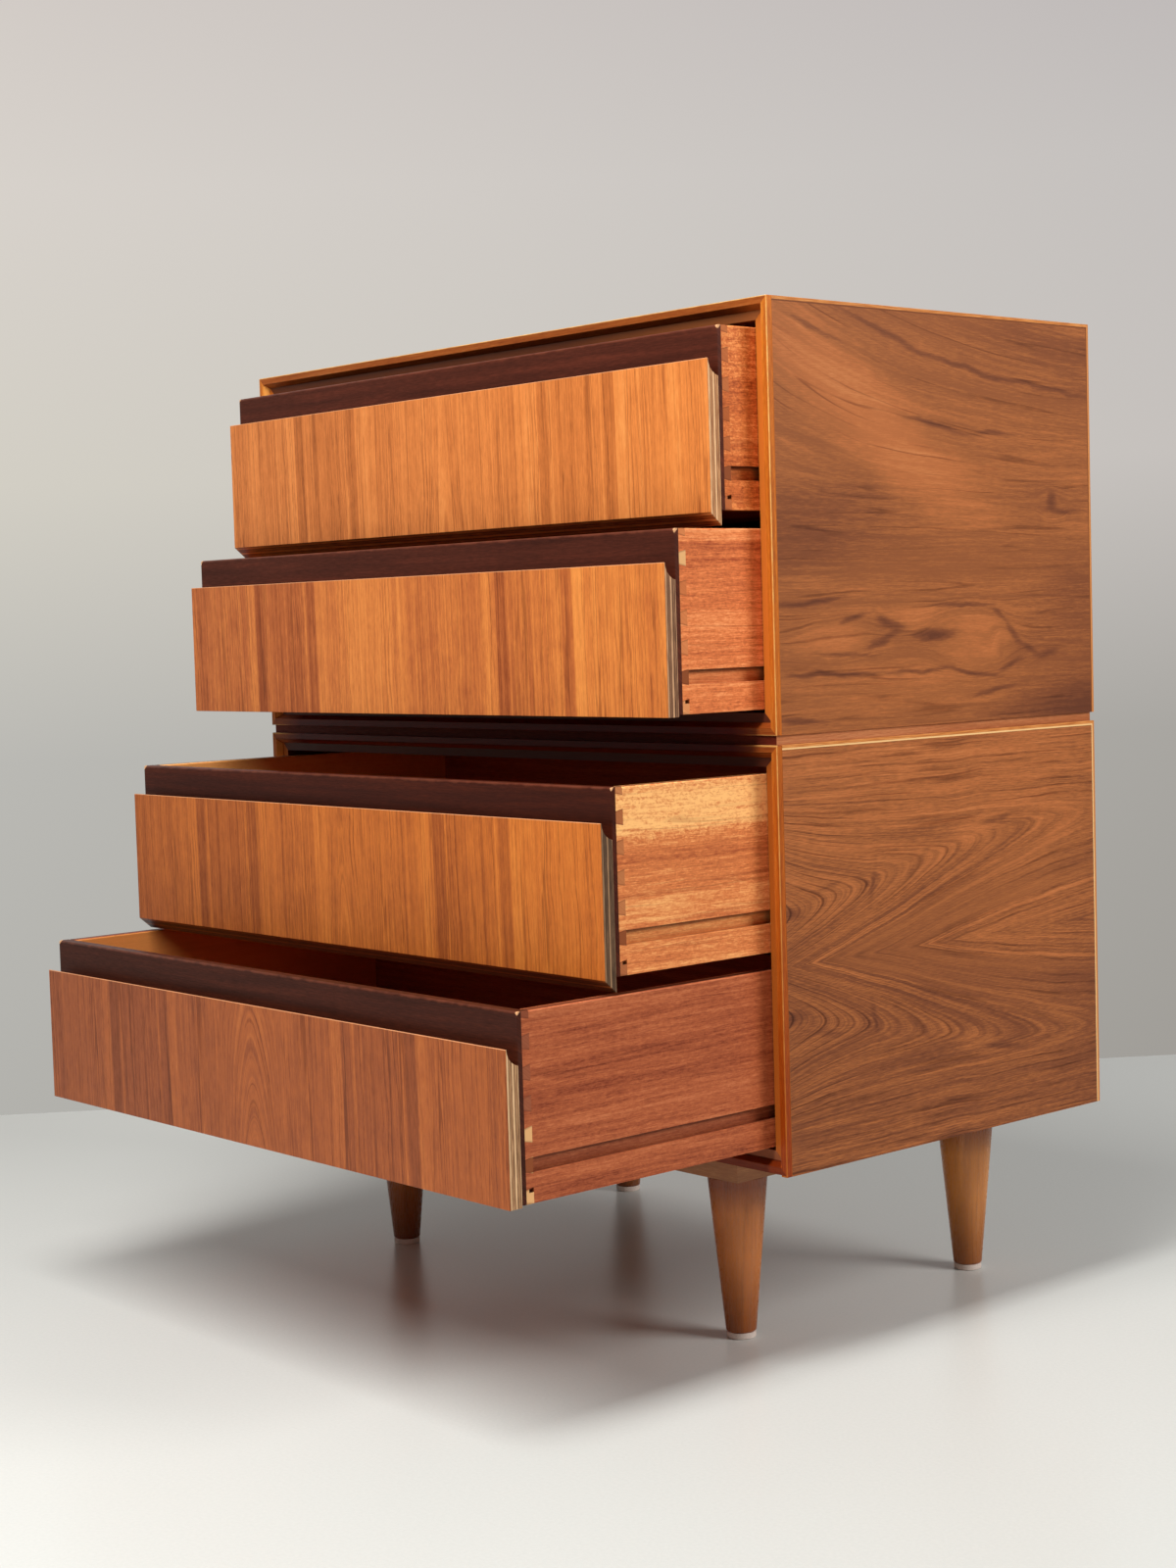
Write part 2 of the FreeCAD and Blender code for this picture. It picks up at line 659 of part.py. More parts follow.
def box_side(label, sign, place):
    """A side with its row of tails, the runner groove outside and two grooves inside."""
    body = new_body(label, **place)
    teeth = [corner for outline in tails for corner in outline]
    outline = [(joint_line, "0"), (box_rear, "0"), (box_rear, "Sizes.drawer_height"),
               (joint_line, "Sizes.drawer_height")] + teeth
    start = inner_half if sign > 0 else f"-{drawer_half}"
    pad(body, label + "_board", "YZ_Plane", [outline], "Sizes.side_thickness", start)
    soften(body, label + "_top_edges", "PartDesign::Fillet", "Radius", "Sizes.side_rounding",
           lambda edge: same(edge.BoundBox.ZMin, number("Sizes.drawer_height"))
           and edge.BoundBox.YLength > edge.BoundBox.XLength)
    outer = f"({sign} * {drawer_half})"
    bed = f"({sign} * ({drawer_half} - Sizes.runner_groove_depth))"
    groove = box_outline(outer, bed, groove_low, groove_high)
    pocket(body, label + "_runner_groove", "XZ_Plane", [groove], f"{box_rear} - {joint_line}",
           f"-{box_rear}", along=True)
    inner = f"({sign} * {inner_half})"
    bed = f"({sign} * ({inner_half} + Sizes.bottom_groove_depth))"
    groove = box_outline(inner, bed, bottom_low, bottom_high)
    pocket(body, label + "_bottom_groove", "XZ_Plane", [groove], f"{box_rear} - {tail_tip}",
           f"-{box_rear}", along=True)
    housing = box_outline(board_front, board_rear, bottom_high, board_top)
    pocket(body, label + "_housing", "YZ_Plane", [housing], "Sizes.housing_depth", inner, along=sign > 0)


def box_back(label, place):
    """The back board, housed in the sides, over the bottom."""
    body = new_body(label, **place)
    reach = f"({inner_half} + Sizes.housing_depth)"
    board = box_outline(f"-{reach}", reach, bottom_high, board_top)
    pad(body, label + "_board", "XZ_Plane", [board], "Sizes.back_board", f"-{board_rear}")


def box_bottom(label, place):
    """The plywood bottom, slid in from behind under the back board."""
    body = new_body(label, **place)
    reach = f"({inner_half} + Sizes.bottom_groove_depth - Sizes.bottom_play)"
    near = f"({joint_line} - Sizes.bottom_groove_depth + Sizes.bottom_play)"
    sheet_outline = box_outline(f"-{reach}", reach, near, board_rear)
    pad(body, label + "_sheet", "XY_Plane", [sheet_outline], "Sizes.bottom_thickness", bottom_low)


def veneered_face(label, bevelled, place):
    """The panel on the front: cove behind the top lip, and a bevel below on the upper drawers."""
    low = "(-Sizes.face_overhang)"
    high = "(Sizes.drawer_height - Sizes.finger_drop)"
    back_low = f"({low} - Sizes.face_bevel)" if bevelled else low
    body = new_body(label, **place)
    profile = [("0", low), ("Sizes.face_thickness", back_low), ("Sizes.face_thickness", high), ("0", high)]
    pad(body, label + "_panel", "YZ_Plane", [profile], f"2 * {drawer_half}", middle=True)
    pocket(body, label + "_cove", "YZ_Plane", [],
           circles=[("Sizes.lip + Sizes.cove_radius", high, "Sizes.cove_radius")])


drawers = {
    "drawer_1": ("Sizes.first_out", upper_base, top_side_base, True),
    "drawer_2": ("Sizes.second_out", upper_base, bottom_side_base, False),
    "drawer_3": ("Sizes.third_out", lower_base, top_side_base, True),
    "drawer_4": ("Sizes.fourth_out", lower_base, bottom_side_base, False),
}

for drawer, (out, base, base_of_side, bevelled) in drawers.items():
    place = {"y": f"{facing} - {out}", "z": f"{base} + {base_of_side}"}
    veneered_face(f"{drawer}_false_front", bevelled, place)
    box_front(f"{drawer}_box_front", place)
    box_side(f"{drawer}_left_side", -1, place)
    box_side(f"{drawer}_right_side", 1, place)
    box_back(f"{drawer}_back", place)
    box_bottom(f"{drawer}_bottom", place)

doc.recompute()

for item in doc.Objects:
    if "Invalid" in item.State or "Error" in item.State:
        raise RuntimeError(f"{item.Label} did not recompute: {item.State}")
for piece in pieces:
    if piece.Shape.isNull() or not piece.Shape.isValid():
        raise RuntimeError(f"{piece.Label} has no valid shape")

os.makedirs("parts", exist_ok=True)
for piece in pieces:
    piece.Shape.exportStep(f"parts/{piece.Label}.step")
print(len(pieces), "pieces written")
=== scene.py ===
"""Looks of a walnut and teak chest of drawers: two stacked carcases, four open drawers, turned legs."""
import math
from functools import partial

import bmesh
import bpy
from mathutils import Matrix, Vector


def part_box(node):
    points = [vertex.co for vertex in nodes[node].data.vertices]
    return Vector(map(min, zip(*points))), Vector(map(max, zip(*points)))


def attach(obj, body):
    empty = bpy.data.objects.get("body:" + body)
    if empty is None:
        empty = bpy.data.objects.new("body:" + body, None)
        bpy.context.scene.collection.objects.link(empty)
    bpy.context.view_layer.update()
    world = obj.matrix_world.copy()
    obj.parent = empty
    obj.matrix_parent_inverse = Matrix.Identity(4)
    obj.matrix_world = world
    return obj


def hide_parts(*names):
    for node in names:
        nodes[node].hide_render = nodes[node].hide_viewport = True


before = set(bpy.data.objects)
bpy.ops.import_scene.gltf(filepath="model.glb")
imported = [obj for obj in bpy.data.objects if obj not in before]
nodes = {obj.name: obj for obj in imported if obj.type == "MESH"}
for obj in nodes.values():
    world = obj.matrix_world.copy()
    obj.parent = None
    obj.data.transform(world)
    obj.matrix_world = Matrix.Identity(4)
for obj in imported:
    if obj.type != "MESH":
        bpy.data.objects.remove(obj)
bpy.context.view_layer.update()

mm = 0.001


# Carcase panels
# Blockboard sides, tops and bottoms faced with walnut veneer, satin lacquered, mitred at the corners.
# The side leaves are what the eye goes to: a sweeping, knotty one above and a book-matched pair below.

# Where the faces and ends of the sides lie, in mm. The last two limits are set a little into the wood
side_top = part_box("upper_right_side")[1].z / mm
lower_side_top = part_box("lower_right_side")[1].z / mm
front_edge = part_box("upper_front_edging")[0].y / mm
back_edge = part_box("upper_right_side")[1].y / mm
front_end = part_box("upper_right_side")[0].y / mm + 0.3
inner_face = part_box("upper_right_side")[0].x / mm + 0.5
# Where the mirrored leaves meet, the thickness of the lipping, and how far its glue line shows either way
book_joint = lower_side_top - 195.8
lipping = 3.6
glue_line = 0.7

# Shades run from late wood to early wood. Lippings have a colour at the front end and one for the glue line
walnut_shades = ((0.32, "#643622"), (0.42, "#80482A"), (0.50, "#9E5D33"), (0.57, "#B66A3B"),
                 (0.68, "#CA804C"))
walnut_line = "#70422A"
lipping_shades = ((0.30, "#A85F2E"), (0.50, "#C97C3E"), (0.70, "#E09A5A"))
upper_lipping, lower_lipping = ("#CC7028", "#7A4424"), ("#A8561C", "#F0C488")
inside_colour = "#7A3020"
inside_edges = {"sides": "#7A3A20", "upper_top": "#A05A2C", "upper_bottom": "#5A2816", "lower_top": "#5A2816",
                "lower_bottom": "#8A4A28"}
# Behind the edging, the strip along an inner face's front edge gives way to the panel between these depths
edge_depth = (18.0, 40.0)


def paint(code):
    """A colour for a node, from its sRGB hex value."""
    parts = [int(code[i:i + 2], 16) / 255 for i in (1, 3, 5)]
    linear = [p / 12.92 if p <= 0.04045 else ((p + 0.055) / 1.055) ** 2.4 for p in parts]
    return (*linear, 1.0)


def add_node(tree, kind, inputs=(), stops=(), **settings):
    """Adds a node and returns its first live output. Inputs go in order or by name, as values or sockets.

    A kind in capitals is an operation of the Math node, and a hex value is a colour.
    """
    if kind.isupper():
        kind, settings["operation"] = "Math", kind
    new = tree.nodes.new("ShaderNode" + kind)
    for name, value in settings.items():
        setattr(new, name, value)
    for place, (share, code) in enumerate(stops):
        ramp = new.color_ramp.elements
        stop = ramp[place] if place < len(ramp) else ramp.new(1.0)
        stop.position, stop.color = share, paint(code)
    live = [socket for socket in new.inputs if socket.enabled]
    if isinstance(inputs, dict):
        pairs = [(next(s for s in live if s.name == name), value) for name, value in inputs.items()]
    else:
        pairs = list(zip(live, inputs))
    for socket, value in pairs:
        if isinstance(value, bpy.types.NodeSocket):
            tree.links.new(value, socket)
        elif value is not None:
            socket.default_value = paint(value) if isinstance(value, str) else value
    return next((socket for socket in new.outputs if socket.enabled), None)


def new_material(name):
    """Starts a node material: (the function that adds nodes to it, and the surface's x, y, z in mm)."""
    material = bpy.data.materials.new(name)
    material.use_nodes = True
    material.node_tree.nodes.clear()
    add = partial(add_node, material.node_tree)
    place = add("TexCoord").node.outputs["Object"]
    place = add("VectorMath", {"Vector": place, "Scale": 1 / mm}, operation="SCALE")
    return (add, *add("SeparateXYZ", (place,)).node.outputs)


def patches(add, place, size, detail, rough=0.5, shift=(0, 0, 0)):
    """Random patches of a size in mm along each axis of place, from 0 to 1 but mostly 0.3 to 0.7."""
    scaled = add("Mapping", {"Vector": place, "Location": shift,
                             "Scale": (*(1 / step for step in size), 1)[:3]})
    return add("TexNoise", {"Vector": scaled, "Scale": 1.0, "Detail": detail, "Roughness": rough})


def growth(add, field, length, across=None, seed=0.0, band=30.0, layer=7.0, pencil=12.0, pore=1.1, drift=9.0,
           run=170.0, fine=0.56, stroke=0.05, stretch=24.0):
    """What sawing shows of the growth layers: tone, dark pencil lines and pores, each about 0 to 1.

    The field is constant along each layer, length runs with the grain and across goes over it, all in mm.
    Bands, layers, pencil lines and pores have these widths, and layers drift this far in a run of the grain.
    Pores are drawn a few times wider than real ones, so that they show. Fine is the layers' share of the tone
    beside that of the bands, stroke the width of a pencil line, and stretch a layer's length to its width.
    """
    across = field if across is None else across
    # Each seed has a slice of the noise to itself
    part = 40.0 * seed
    lie = add("CombineXYZ", (length, field, part))
    bend = patches(add, lie, (run, 45), 2.0)
    layers = add("CombineXYZ", (length, add("MULTIPLY_ADD", (bend, drift, field)), part))
    broad = patches(add, layers, (3 * run, band), 2.0)
    narrow = patches(add, layers, (stretch * layer, layer), 5.0, 0.62, (3.1, 0.7, 0))
    grit = patches(add, add("CombineXYZ", (length, across, part)), (11 * pore, pore), 2.0, 0.7)
    tone = add("Mix", (fine, broad, narrow))
    tone = add("Mix", (0.32, tone, grit))
    # A pencil line lies where this noise crosses its middle value, and comes and goes along the grain
    edge = patches(add, layers, (30 * pencil, pencil), 1.0, shift=(1.7, 5.3, 0))
    edge = add("ABSOLUTE", (add("ADD", (edge, -0.5)),))
    line = add("MapRange", (edge, 0.3 * stroke, stroke, 1.0, 0.0))
    fade = patches(add, lie, (0.65 * run, 14), 2.0, shift=(7.3, 2.1, 0))
    show = add("MapRange", (fade, 0.45, 0.62, 0.0, 1.0))
    return tone, add("MULTIPLY", (line, show)), grit


def lacquer(add, colour, grit, dull=0.40, shine=0.52, relief=0.06, gloss=0.2):
    """Ends a wood material: sprayed satin lacquer, whose soft shine the open pores break. Relief is in mm."""
    rough = add("MapRange", (grit, 0.35, 0.65, shine, dull))
    normal = add("Bump", {"Height": grit, "Strength": 0.35, "Distance": relief * mm})
    shader = add("BsdfPrincipled", {"Base Color": colour, "Roughness": rough, "Normal": normal, "IOR": 1.45,
                                    "Specular IOR Level": gloss})
    add("OutputMaterial", (shader,))


def streaked(add, colour, line, dark, depth):
    """Draws the pencil lines of the late wood over a colour."""
    share = add("MULTIPLY", (line, depth))
    return add("Mix", (share, colour, dark), data_type="RGBA", blend_type="MULTIPLY")


def lump(add, spot, centre, reach, turn=0.0, plateau=0.0):
    """1 at the centre of an oval on the panel and 0 at its edge. A plateau is the flat share of it."""
    near = add("Mapping", {"Vector": spot, "Location": (*centre, 0), "Scale": (*reach, 1),
                           "Rotation": (0, 0, math.radians(turn))}, vector_type="TEXTURE")
    bell = add("TexGradient", (near,), gradient_type="SPHERICAL")
    return add("MapRange", (bell, 0.0, 1.0 - plateau, 0.0, 1.0), interpolation_type="SMOOTHSTEP")


def heap(add, value, spot, lumps, plateau=0.0):
    """Adds a list of lumps, each (centre, reach, turn, height), to a value."""
    for centre, reach, turn, height in lumps:
        value = add("MULTIPLY_ADD", (lump(add, spot, centre, reach, turn, plateau), height, value))
    return value


def bands(add, value, across, rows, crisp=0.5):
    """Adds straight bands, each (middle, half width, height), to a value. Crisp is their flat share."""
    for middle, half, height in rows:
        away = add("ABSOLUTE", (add("SUBTRACT", (across, middle)),))
        rise = add("MapRange", (away, crisp * half, half, height, 0.0), interpolation_type="SMOOTHSTEP")
        value = add("ADD", (value, rise))
    return value


def lined(add, colour, inner, y, edge):
    """The inner face of a panel: a solid strip along its front edge, and plain dark mahogany behind it."""
    behind = add("MapRange", (add("SUBTRACT", (y, front_edge)), *edge_depth, 0.0, 1.0))
    plain = add("Mix", (behind, edge, inside_colour), data_type="RGBA")
    return add("Mix", (inner, colour, plain), data_type="RGBA")


def lipped(add, colour, height, y, front, glue):
    """Edges of a side: strips of solid wood along its top, back and front end, with their glue line."""
    to_edge = add("MINIMUM", (height, add("SUBTRACT", (back_edge, y))))
    strip = add("LESS_THAN", (to_edge, lipping))
    seam = add("COMPARE", (to_edge, lipping, glue_line))
    grain = add("TexNoise", {"Vector": add("CombineXYZ", (add("MULTIPLY", (y, 0.05)), to_edge, 0.0)),
                             "Scale": 0.8, "Detail": 3.0})
    solid = add("ValToRGB", (grain,), stops=lipping_shades)
    colour = add("Mix", (strip, colour, solid), data_type="RGBA")
    colour = add("Mix", (seam, colour, glue), data_type="RGBA")
    ahead = add("LESS_THAN", (y, front_end))
    return add("Mix", (ahead, colour, front), data_type="RGBA")


def sweeping_walnut(name, seed):
    """American walnut veneer, crown cut beside a limb, sanded and lacquered: a soft brown with little gloss.

    Its lines sweep down from the top front corner and part round knots.
    """
    add, x, y, z = new_material(name)
    along = add("SUBTRACT", (y, front_edge))
    down = add("SUBTRACT", (side_top, z))
    # Nothing in wood is a true oval: the panel is drawn on coordinates that ripple by half of this either way
    ripple_reach = (18.0, 12.0)
    ripple = add("TexNoise", {"Vector": add("CombineXYZ", (along, down, 9.0 * seed)), "Scale": 0.022,
                              "Detail": 2.0}).node.outputs["Color"]
    flat = add("CombineXYZ", (add("SUBTRACT", (along, ripple_reach[0] / 2)),
                              add("SUBTRACT", (down, ripple_reach[1] / 2)), 0.0))
    spot = add("VectorMath", (ripple, (*ripple_reach, 0.0), flat), operation="MULTIPLY_ADD")
    # The sweep is a parabola about a point behind the back edge, and dies out below mid height
    sweep_middle, sweep_end, sweep_bend = 496.0, 230.0, 0.00036
    bow = add("POWER", (add("SUBTRACT", (along, sweep_middle)), 2.0))
    sweep = add("MapRange", (down, 0.0, sweep_end, sweep_bend, 0.0), interpolation_type="SMOOTHSTEP")
    field = add("MULTIPLY_ADD", (bow, sweep, down))
    # Inside a knot the layers lie wide apart, and they crowd together round it: centre and reach in mm from
    # the top front corner, tilt in degrees, and how far the layers are spread
    for centre, reach, turn, spread in (
            ((268.0, 304.0), (96.0, 44.0), 2.0, 0.72), ((330.0, 314.0), (48.0, 22.0), 24.0, 0.5),
            ((80.0, 300.0), (84.0, 26.0), 0.0, 0.7), ((392.0, 176.0), (30.0, 22.0), 0.0, 0.6)):
        pull = add("MULTIPLY", (add("SUBTRACT", (centre[1], field)), spread))
        field = add("MULTIPLY_ADD", (lump(add, spot, centre, reach, turn, 0.45), pull, field))
    tone, line, grit = growth(add, field, along, across=down, seed=seed, band=24.0, layer=3.4, pencil=14.0,
                              fine=0.6, stroke=0.028)
    # The darkest of the noise is held back, and darkness left to the streaks below
    tone = add("MapRange", (tone, 0.3, 0.7, 0.35, 0.62))
    tone = add("SMOOTH_MAX", (tone, 0.455, 0.05))
    # Paler inside the knots and along the sweep, darker at the back corners and low in front: centre, reach,
    # tilt and how much paler
    tone = heap(add, tone, spot, (
        ((276.0, 304.0), (84.0, 42.0), 2.0, 0.065), ((80.0, 300.0), (70.0, 24.0), 0.0, 0.065),
        ((186.0, 280.0), (48.0, 26.0), 0.0, 0.05),
        ((110.0, 88.0), (240.0, 62.0), 30.0, 0.10), ((230.0, 150.0), (150.0, 40.0), 6.0, 0.035),
        ((366.0, 170.0), (130.0, 44.0), 0.0, -0.025), ((340.0, 330.0), (150.0, 100.0), 0.0, -0.028),
        ((470.0, 404.0), (330.0, 100.0), -12.0, -0.21), ((20.0, 200.0), (230.0, 60.0), -4.0, -0.085),
        ((440.0, 20.0), (280.0, 90.0), 10.0, -0.045), ((200.0, 345.0), (300.0, 40.0), 0.0, 0.03),
        ((430.0, 270.0), (110.0, 70.0), 0.0, -0.055)), plateau=0.1)
    # Dark streaks of late wood, each a thin spindle: the sweep's, the knots' outlines, and the eye
    tone = heap(add, tone, spot, (
        ((150.0, 24.0), (96.0, 4.4), 16.0, -0.1), ((262.0, 50.0), (120.0, 4.4), 10.0, -0.112),
        ((388.0, 66.0), (130.0, 4.0), 5.0, -0.0938), ((55.0, 25.0), (70.0, 4.0), 17.0, -0.112),
        ((214.0, 105.0), (66.0, 4.2), 9.0, -0.125), ((300.0, 111.0), (52.0, 3.6), -1.0, -0.1),
        ((392.0, 172.0), (11.0, 12.0), 0.0, -0.112), ((412.0, 182.0), (44.0, 4.4), 4.0, -0.112),
        ((46.0, 264.0), (76.0, 4.4), -4.0, -0.15), ((104.0, 282.0), (36.0, 4.6), -14.0, -0.125),
        ((150.0, 285.0), (30.0, 8.0), 20.0, -0.138), ((142.0, 302.0), (40.0, 7.5), -22.0, -0.125),
        ((214.0, 298.0), (56.0, 8.5), 1.0, -0.188), ((254.0, 271.0), (70.0, 3.6), 1.0, -0.15),
        ((306.0, 281.0), (24.0, 5.0), 30.0, -0.1), ((330.0, 300.0), (24.0, 7.0), 46.0, -0.1),
        ((322.0, 330.0), (34.0, 5.0), -18.0, -0.112), ((73.0, 330.0), (96.0, 3.8), 2.5, -0.163),
        ((192.0, 331.0), (62.0, 3.8), -3.0, -0.138), ((268.0, 335.0), (60.0, 3.8), 7.0, -0.15),
        ((376.0, 321.0), (26.0, 5.0), -8.0, -0.1), ((352.0, 314.0), (22.0, 6.0), 30.0, -0.0875),
        ((290.0, 354.0), (60.0, 4.2), -7.0, -0.125), ((34.0, 371.0), (50.0, 4.4), 6.0, -0.125),
        ((90.0, 314.0), (60.0, 3.2), 3.0, -0.1)))
    colour = add("ValToRGB", (tone,), stops=walnut_shades)
    inner = add("LESS_THAN", (add("ABSOLUTE", (x,)), inner_face))
    colour = lined(add, streaked(add, colour, line, walnut_line, 0.45), inner, y, inside_edges["sides"])
    lacquer(add, lipped(add, colour, down, y, *upper_lipping), grit, gloss=0.15)
    return bpy.data.materials[name]


def booked_walnut(name, seed):
    """The same walnut veneer as two mirrored leaves, sanded and lacquered: nested Vs with a soft shine.

    Each leaf is a tilted cathedral, a row of arches about a heart, and they mirror at the joint.
    """
    add, x, y, z = new_material(name)
    along = add("SUBTRACT", (y, front_edge))
    down = add("SUBTRACT", (lower_side_top, z))
    off = add("ABSOLUTE", (add("SUBTRACT", (z, book_joint)),))
    spot = add("CombineXYZ", (along, off, 0.0))
    # Its layers waver by half of this either way
    waver = 8.0
    wave = add("TexNoise", {"Vector": add("CombineXYZ", (along, off, 9.0 * seed)), "Scale": 0.01,
                            "Detail": 3.0})
    beside = add("MULTIPLY_ADD", (wave, waver, add("SUBTRACT", (off, waver / 2))))
    # The heart of each cathedral climbs away from the joint and levels out towards the back. An arch has a
    # long flank on the joint's side of the heart and a short one on the other, and each is round at its tip
    inner_reach, inner_round, outer_rise, outer_round = 235.0, 60.0, 3.0, 30.0
    heart = add("MapRange", (along, -150.0, 420.0, 32.0, 106.0), interpolation_type="SMOOTHSTEP")
    apart = add("SUBTRACT", (beside, heart))
    inner = add("DIVIDE", (add("MINIMUM", (apart, 0.0)), heart))
    inner = add("MULTIPLY", (inner, inner_reach))
    inner = add("SQRT", (add("MULTIPLY_ADD", (inner, inner, inner_round ** 2)),))
    outer = add("MULTIPLY", (add("MAXIMUM", (apart, 0.0)), outer_rise))
    outer = add("SQRT", (add("MULTIPLY_ADD", (outer, outer, outer_round ** 2)),))
    # Arches follow each other closely at the front, within this depth, and further apart towards the back
    crowded, crowding, spacing = 170.0, -250.0, 0.08
    decay = add("EXPONENT", (add("MULTIPLY", (along, -1 / crowded)),))
    steps = add("MULTIPLY_ADD", (decay, crowding, add("MULTIPLY", (along, spacing))))
    core = add("ADD", (add("ADD", (inner, outer)), steps))
    core = add("ADD", (core, 160.0))
    level = add("MULTIPLY_ADD", (beside, 2.2, 14.0))
    flatten = add("MapRange", (off, 95.0, 165.0, 0.0, 1.0), interpolation_type="SMOOTHSTEP")
    field = add("Mix", (flatten, core, level))
    tone, line, grit = growth(add, field, along, across=down, seed=seed, band=24.0, layer=4.6, pencil=20.0,
                              drift=5.0, fine=0.64)
    tone = add("MapRange", (tone, 0.3, 0.7, 0.32, 0.68))
    # Between the two bright Vs the wood is quiet, and all of this fades away from the joint
    near = add("MapRange", (off, 30.0, 90.0, 1.0, 0.15), interpolation_type="SMOOTHSTEP")
    quiet = add("MULTIPLY", (near, bands(add, 0.0, core, ((308.0, 56.0, 0.5),), crisp=0.8)))
    tone = add("Mix", (quiet, tone, 0.49))
    line = add("MULTIPLY", (line, add("SUBTRACT", (1.0, quiet))))
    # Pale layers with dark ones beside them draw the bright Vs
    marks = bands(add, 0.0, core, (
        (236.0, 12.0, 0.075), (250.0, 5.0, -0.07), (222.0, 6.0, -0.05), (208.0, 4.0, -0.05),
        (296.0, 7.0, -0.015), (330.0, 8.0, -0.01), (371.0, 4.6, 0.085), (405.0, 5.0, 0.02)))
    tone = add("MULTIPLY_ADD", (marks, near, tone))
    tone = heap(add, tone, spot, (
        ((15.0, 46.0), (20.0, 10.0), 0.0, -0.10), ((262.0, 100.0), (44.0, 18.0), 12.0, 0.07),
        ((452.0, 10.0), (280.0, 60.0), 0.0, 0.03), ((10.0, 0.0), (110.0, 60.0), 0.0, -0.025)), plateau=0.1)
    # Dark crescents at the tips of the arches
    tone = heap(add, tone, spot, (
        ((120.0, 60.0), (6.0, 30.0), -14.0, -0.06), ((60.0, 66.0), (34.0, 5.0), 12.0, -0.07),
        ((180.0, 74.0), (40.0, 6.0), 42.0, -0.05), ((300.0, 110.0), (60.0, 4.4), 9.0, -0.08)))
    # Painted shade: darker towards the bottom and at the back end
    shade = add("ADD", (add("MapRange", (down, 40.0, 250.0, 0.03, -0.055)),
                        add("MapRange", (along, 380.0, 440.0, 0.0, -0.03))))
    tone = add("ADD", (tone, shade))
    colour = add("ValToRGB", (tone,), stops=walnut_shades)
    inner = add("LESS_THAN", (add("ABSOLUTE", (x,)), inner_face))
    colour = lined(add, streaked(add, colour, line, walnut_line, 0.6), inner, y, inside_edges["sides"])
    lacquer(add, lipped(add, colour, down, y, *lower_lipping), grit, gloss=0.15)
    return bpy.data.materials[name]


def straight_walnut(name, board, seed):
    """Quieter walnut veneer for tops and bottoms, lacquered, its grain running across the chest.

    Inside they are mahogany stained a dull red-brown.
    """
    add, x, y, z = new_material(name)
    field = add("MULTIPLY_ADD", (z, 0.6, y))
    tone, line, grit = growth(add, field, x, seed=seed, band=40.0, layer=8.0, pencil=16.0, drift=40.0,
                              run=420.0)
    colour = add("ValToRGB", (tone,), stops=walnut_shades)
    middle = sum(corner.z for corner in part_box(board)) / 2 / mm
    inner = add("GREATER_THAN", (middle, z) if board.endswith("top") else (z, middle))
    colour = lined(add, streaked(add, colour, line, walnut_line, 0.5), inner, y, inside_edges[board])
    # Painted shade: inside the opening the panel is painted darker away from its right end
    dark = add("MULTIPLY", (inner, add("MapRange", (x, 120.0, 370.0, 0.75, 0.0))))
    colour = add("Mix", (dark, colour, "#4A1A0C"), data_type="RGBA")
    lacquer(add, colour, grit)
    return bpy.data.materials[name]


def finish(node, material, arris=0.4):
    """Gives a CAD node its material and sands its arrises by arris mm."""
    piece = nodes[node]
    piece.data.materials.clear()
    piece.data.materials.append(material)
    if arris:
        piece.modifiers.new("joined", "WELD").merge_threshold = 0.005 * mm
        flat = piece.modifiers.new("flat faces", "DECIMATE")
        flat.decimate_type, flat.angle_limit = "DISSOLVE", math.radians(0.5)
        sanded = piece.modifiers.new("sanded arrises", "BEVEL")
        sanded.width, sanded.segments, sanded.angle_limit = arris * mm, 2, math.radians(30)
        sanded.limit_method = "ANGLE"


for side, seed in (("right", 1.0), ("left", 6.0)):
    finish(f"upper_{side}_side", sweeping_walnut(f"walnut_veneer_sweeping_{side}", seed))
    finish(f"lower_{side}_side", booked_walnut(f"walnut_veneer_booked_{side}", seed))
for count, board in enumerate(("upper_top", "upper_bottom", "lower_top", "lower_bottom")):
    finish(board, straight_walnut(f"walnut_veneer_{board}", board, 2.0 + count))


# Front edging
# Solid strips glued round the carcase fronts: a flat, then a bevel that leads the eye in, mitred at each end.
# They are paler and more orange than the veneer, and handling has rubbed their arrises pale, a line that also
# serves as a painted highlight.

flat_width = 7.0
side_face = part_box("upper_right_side")[1].x / mm
gap_middle = sum(corner.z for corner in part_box("spacer_front")) / 2 / mm
lower_middle, upper_middle = (sum(corner.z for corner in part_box(f"{level}_right_side")) / 2 / mm
                              for level in ("lower", "upper"))
half_height = side_top - upper_middle


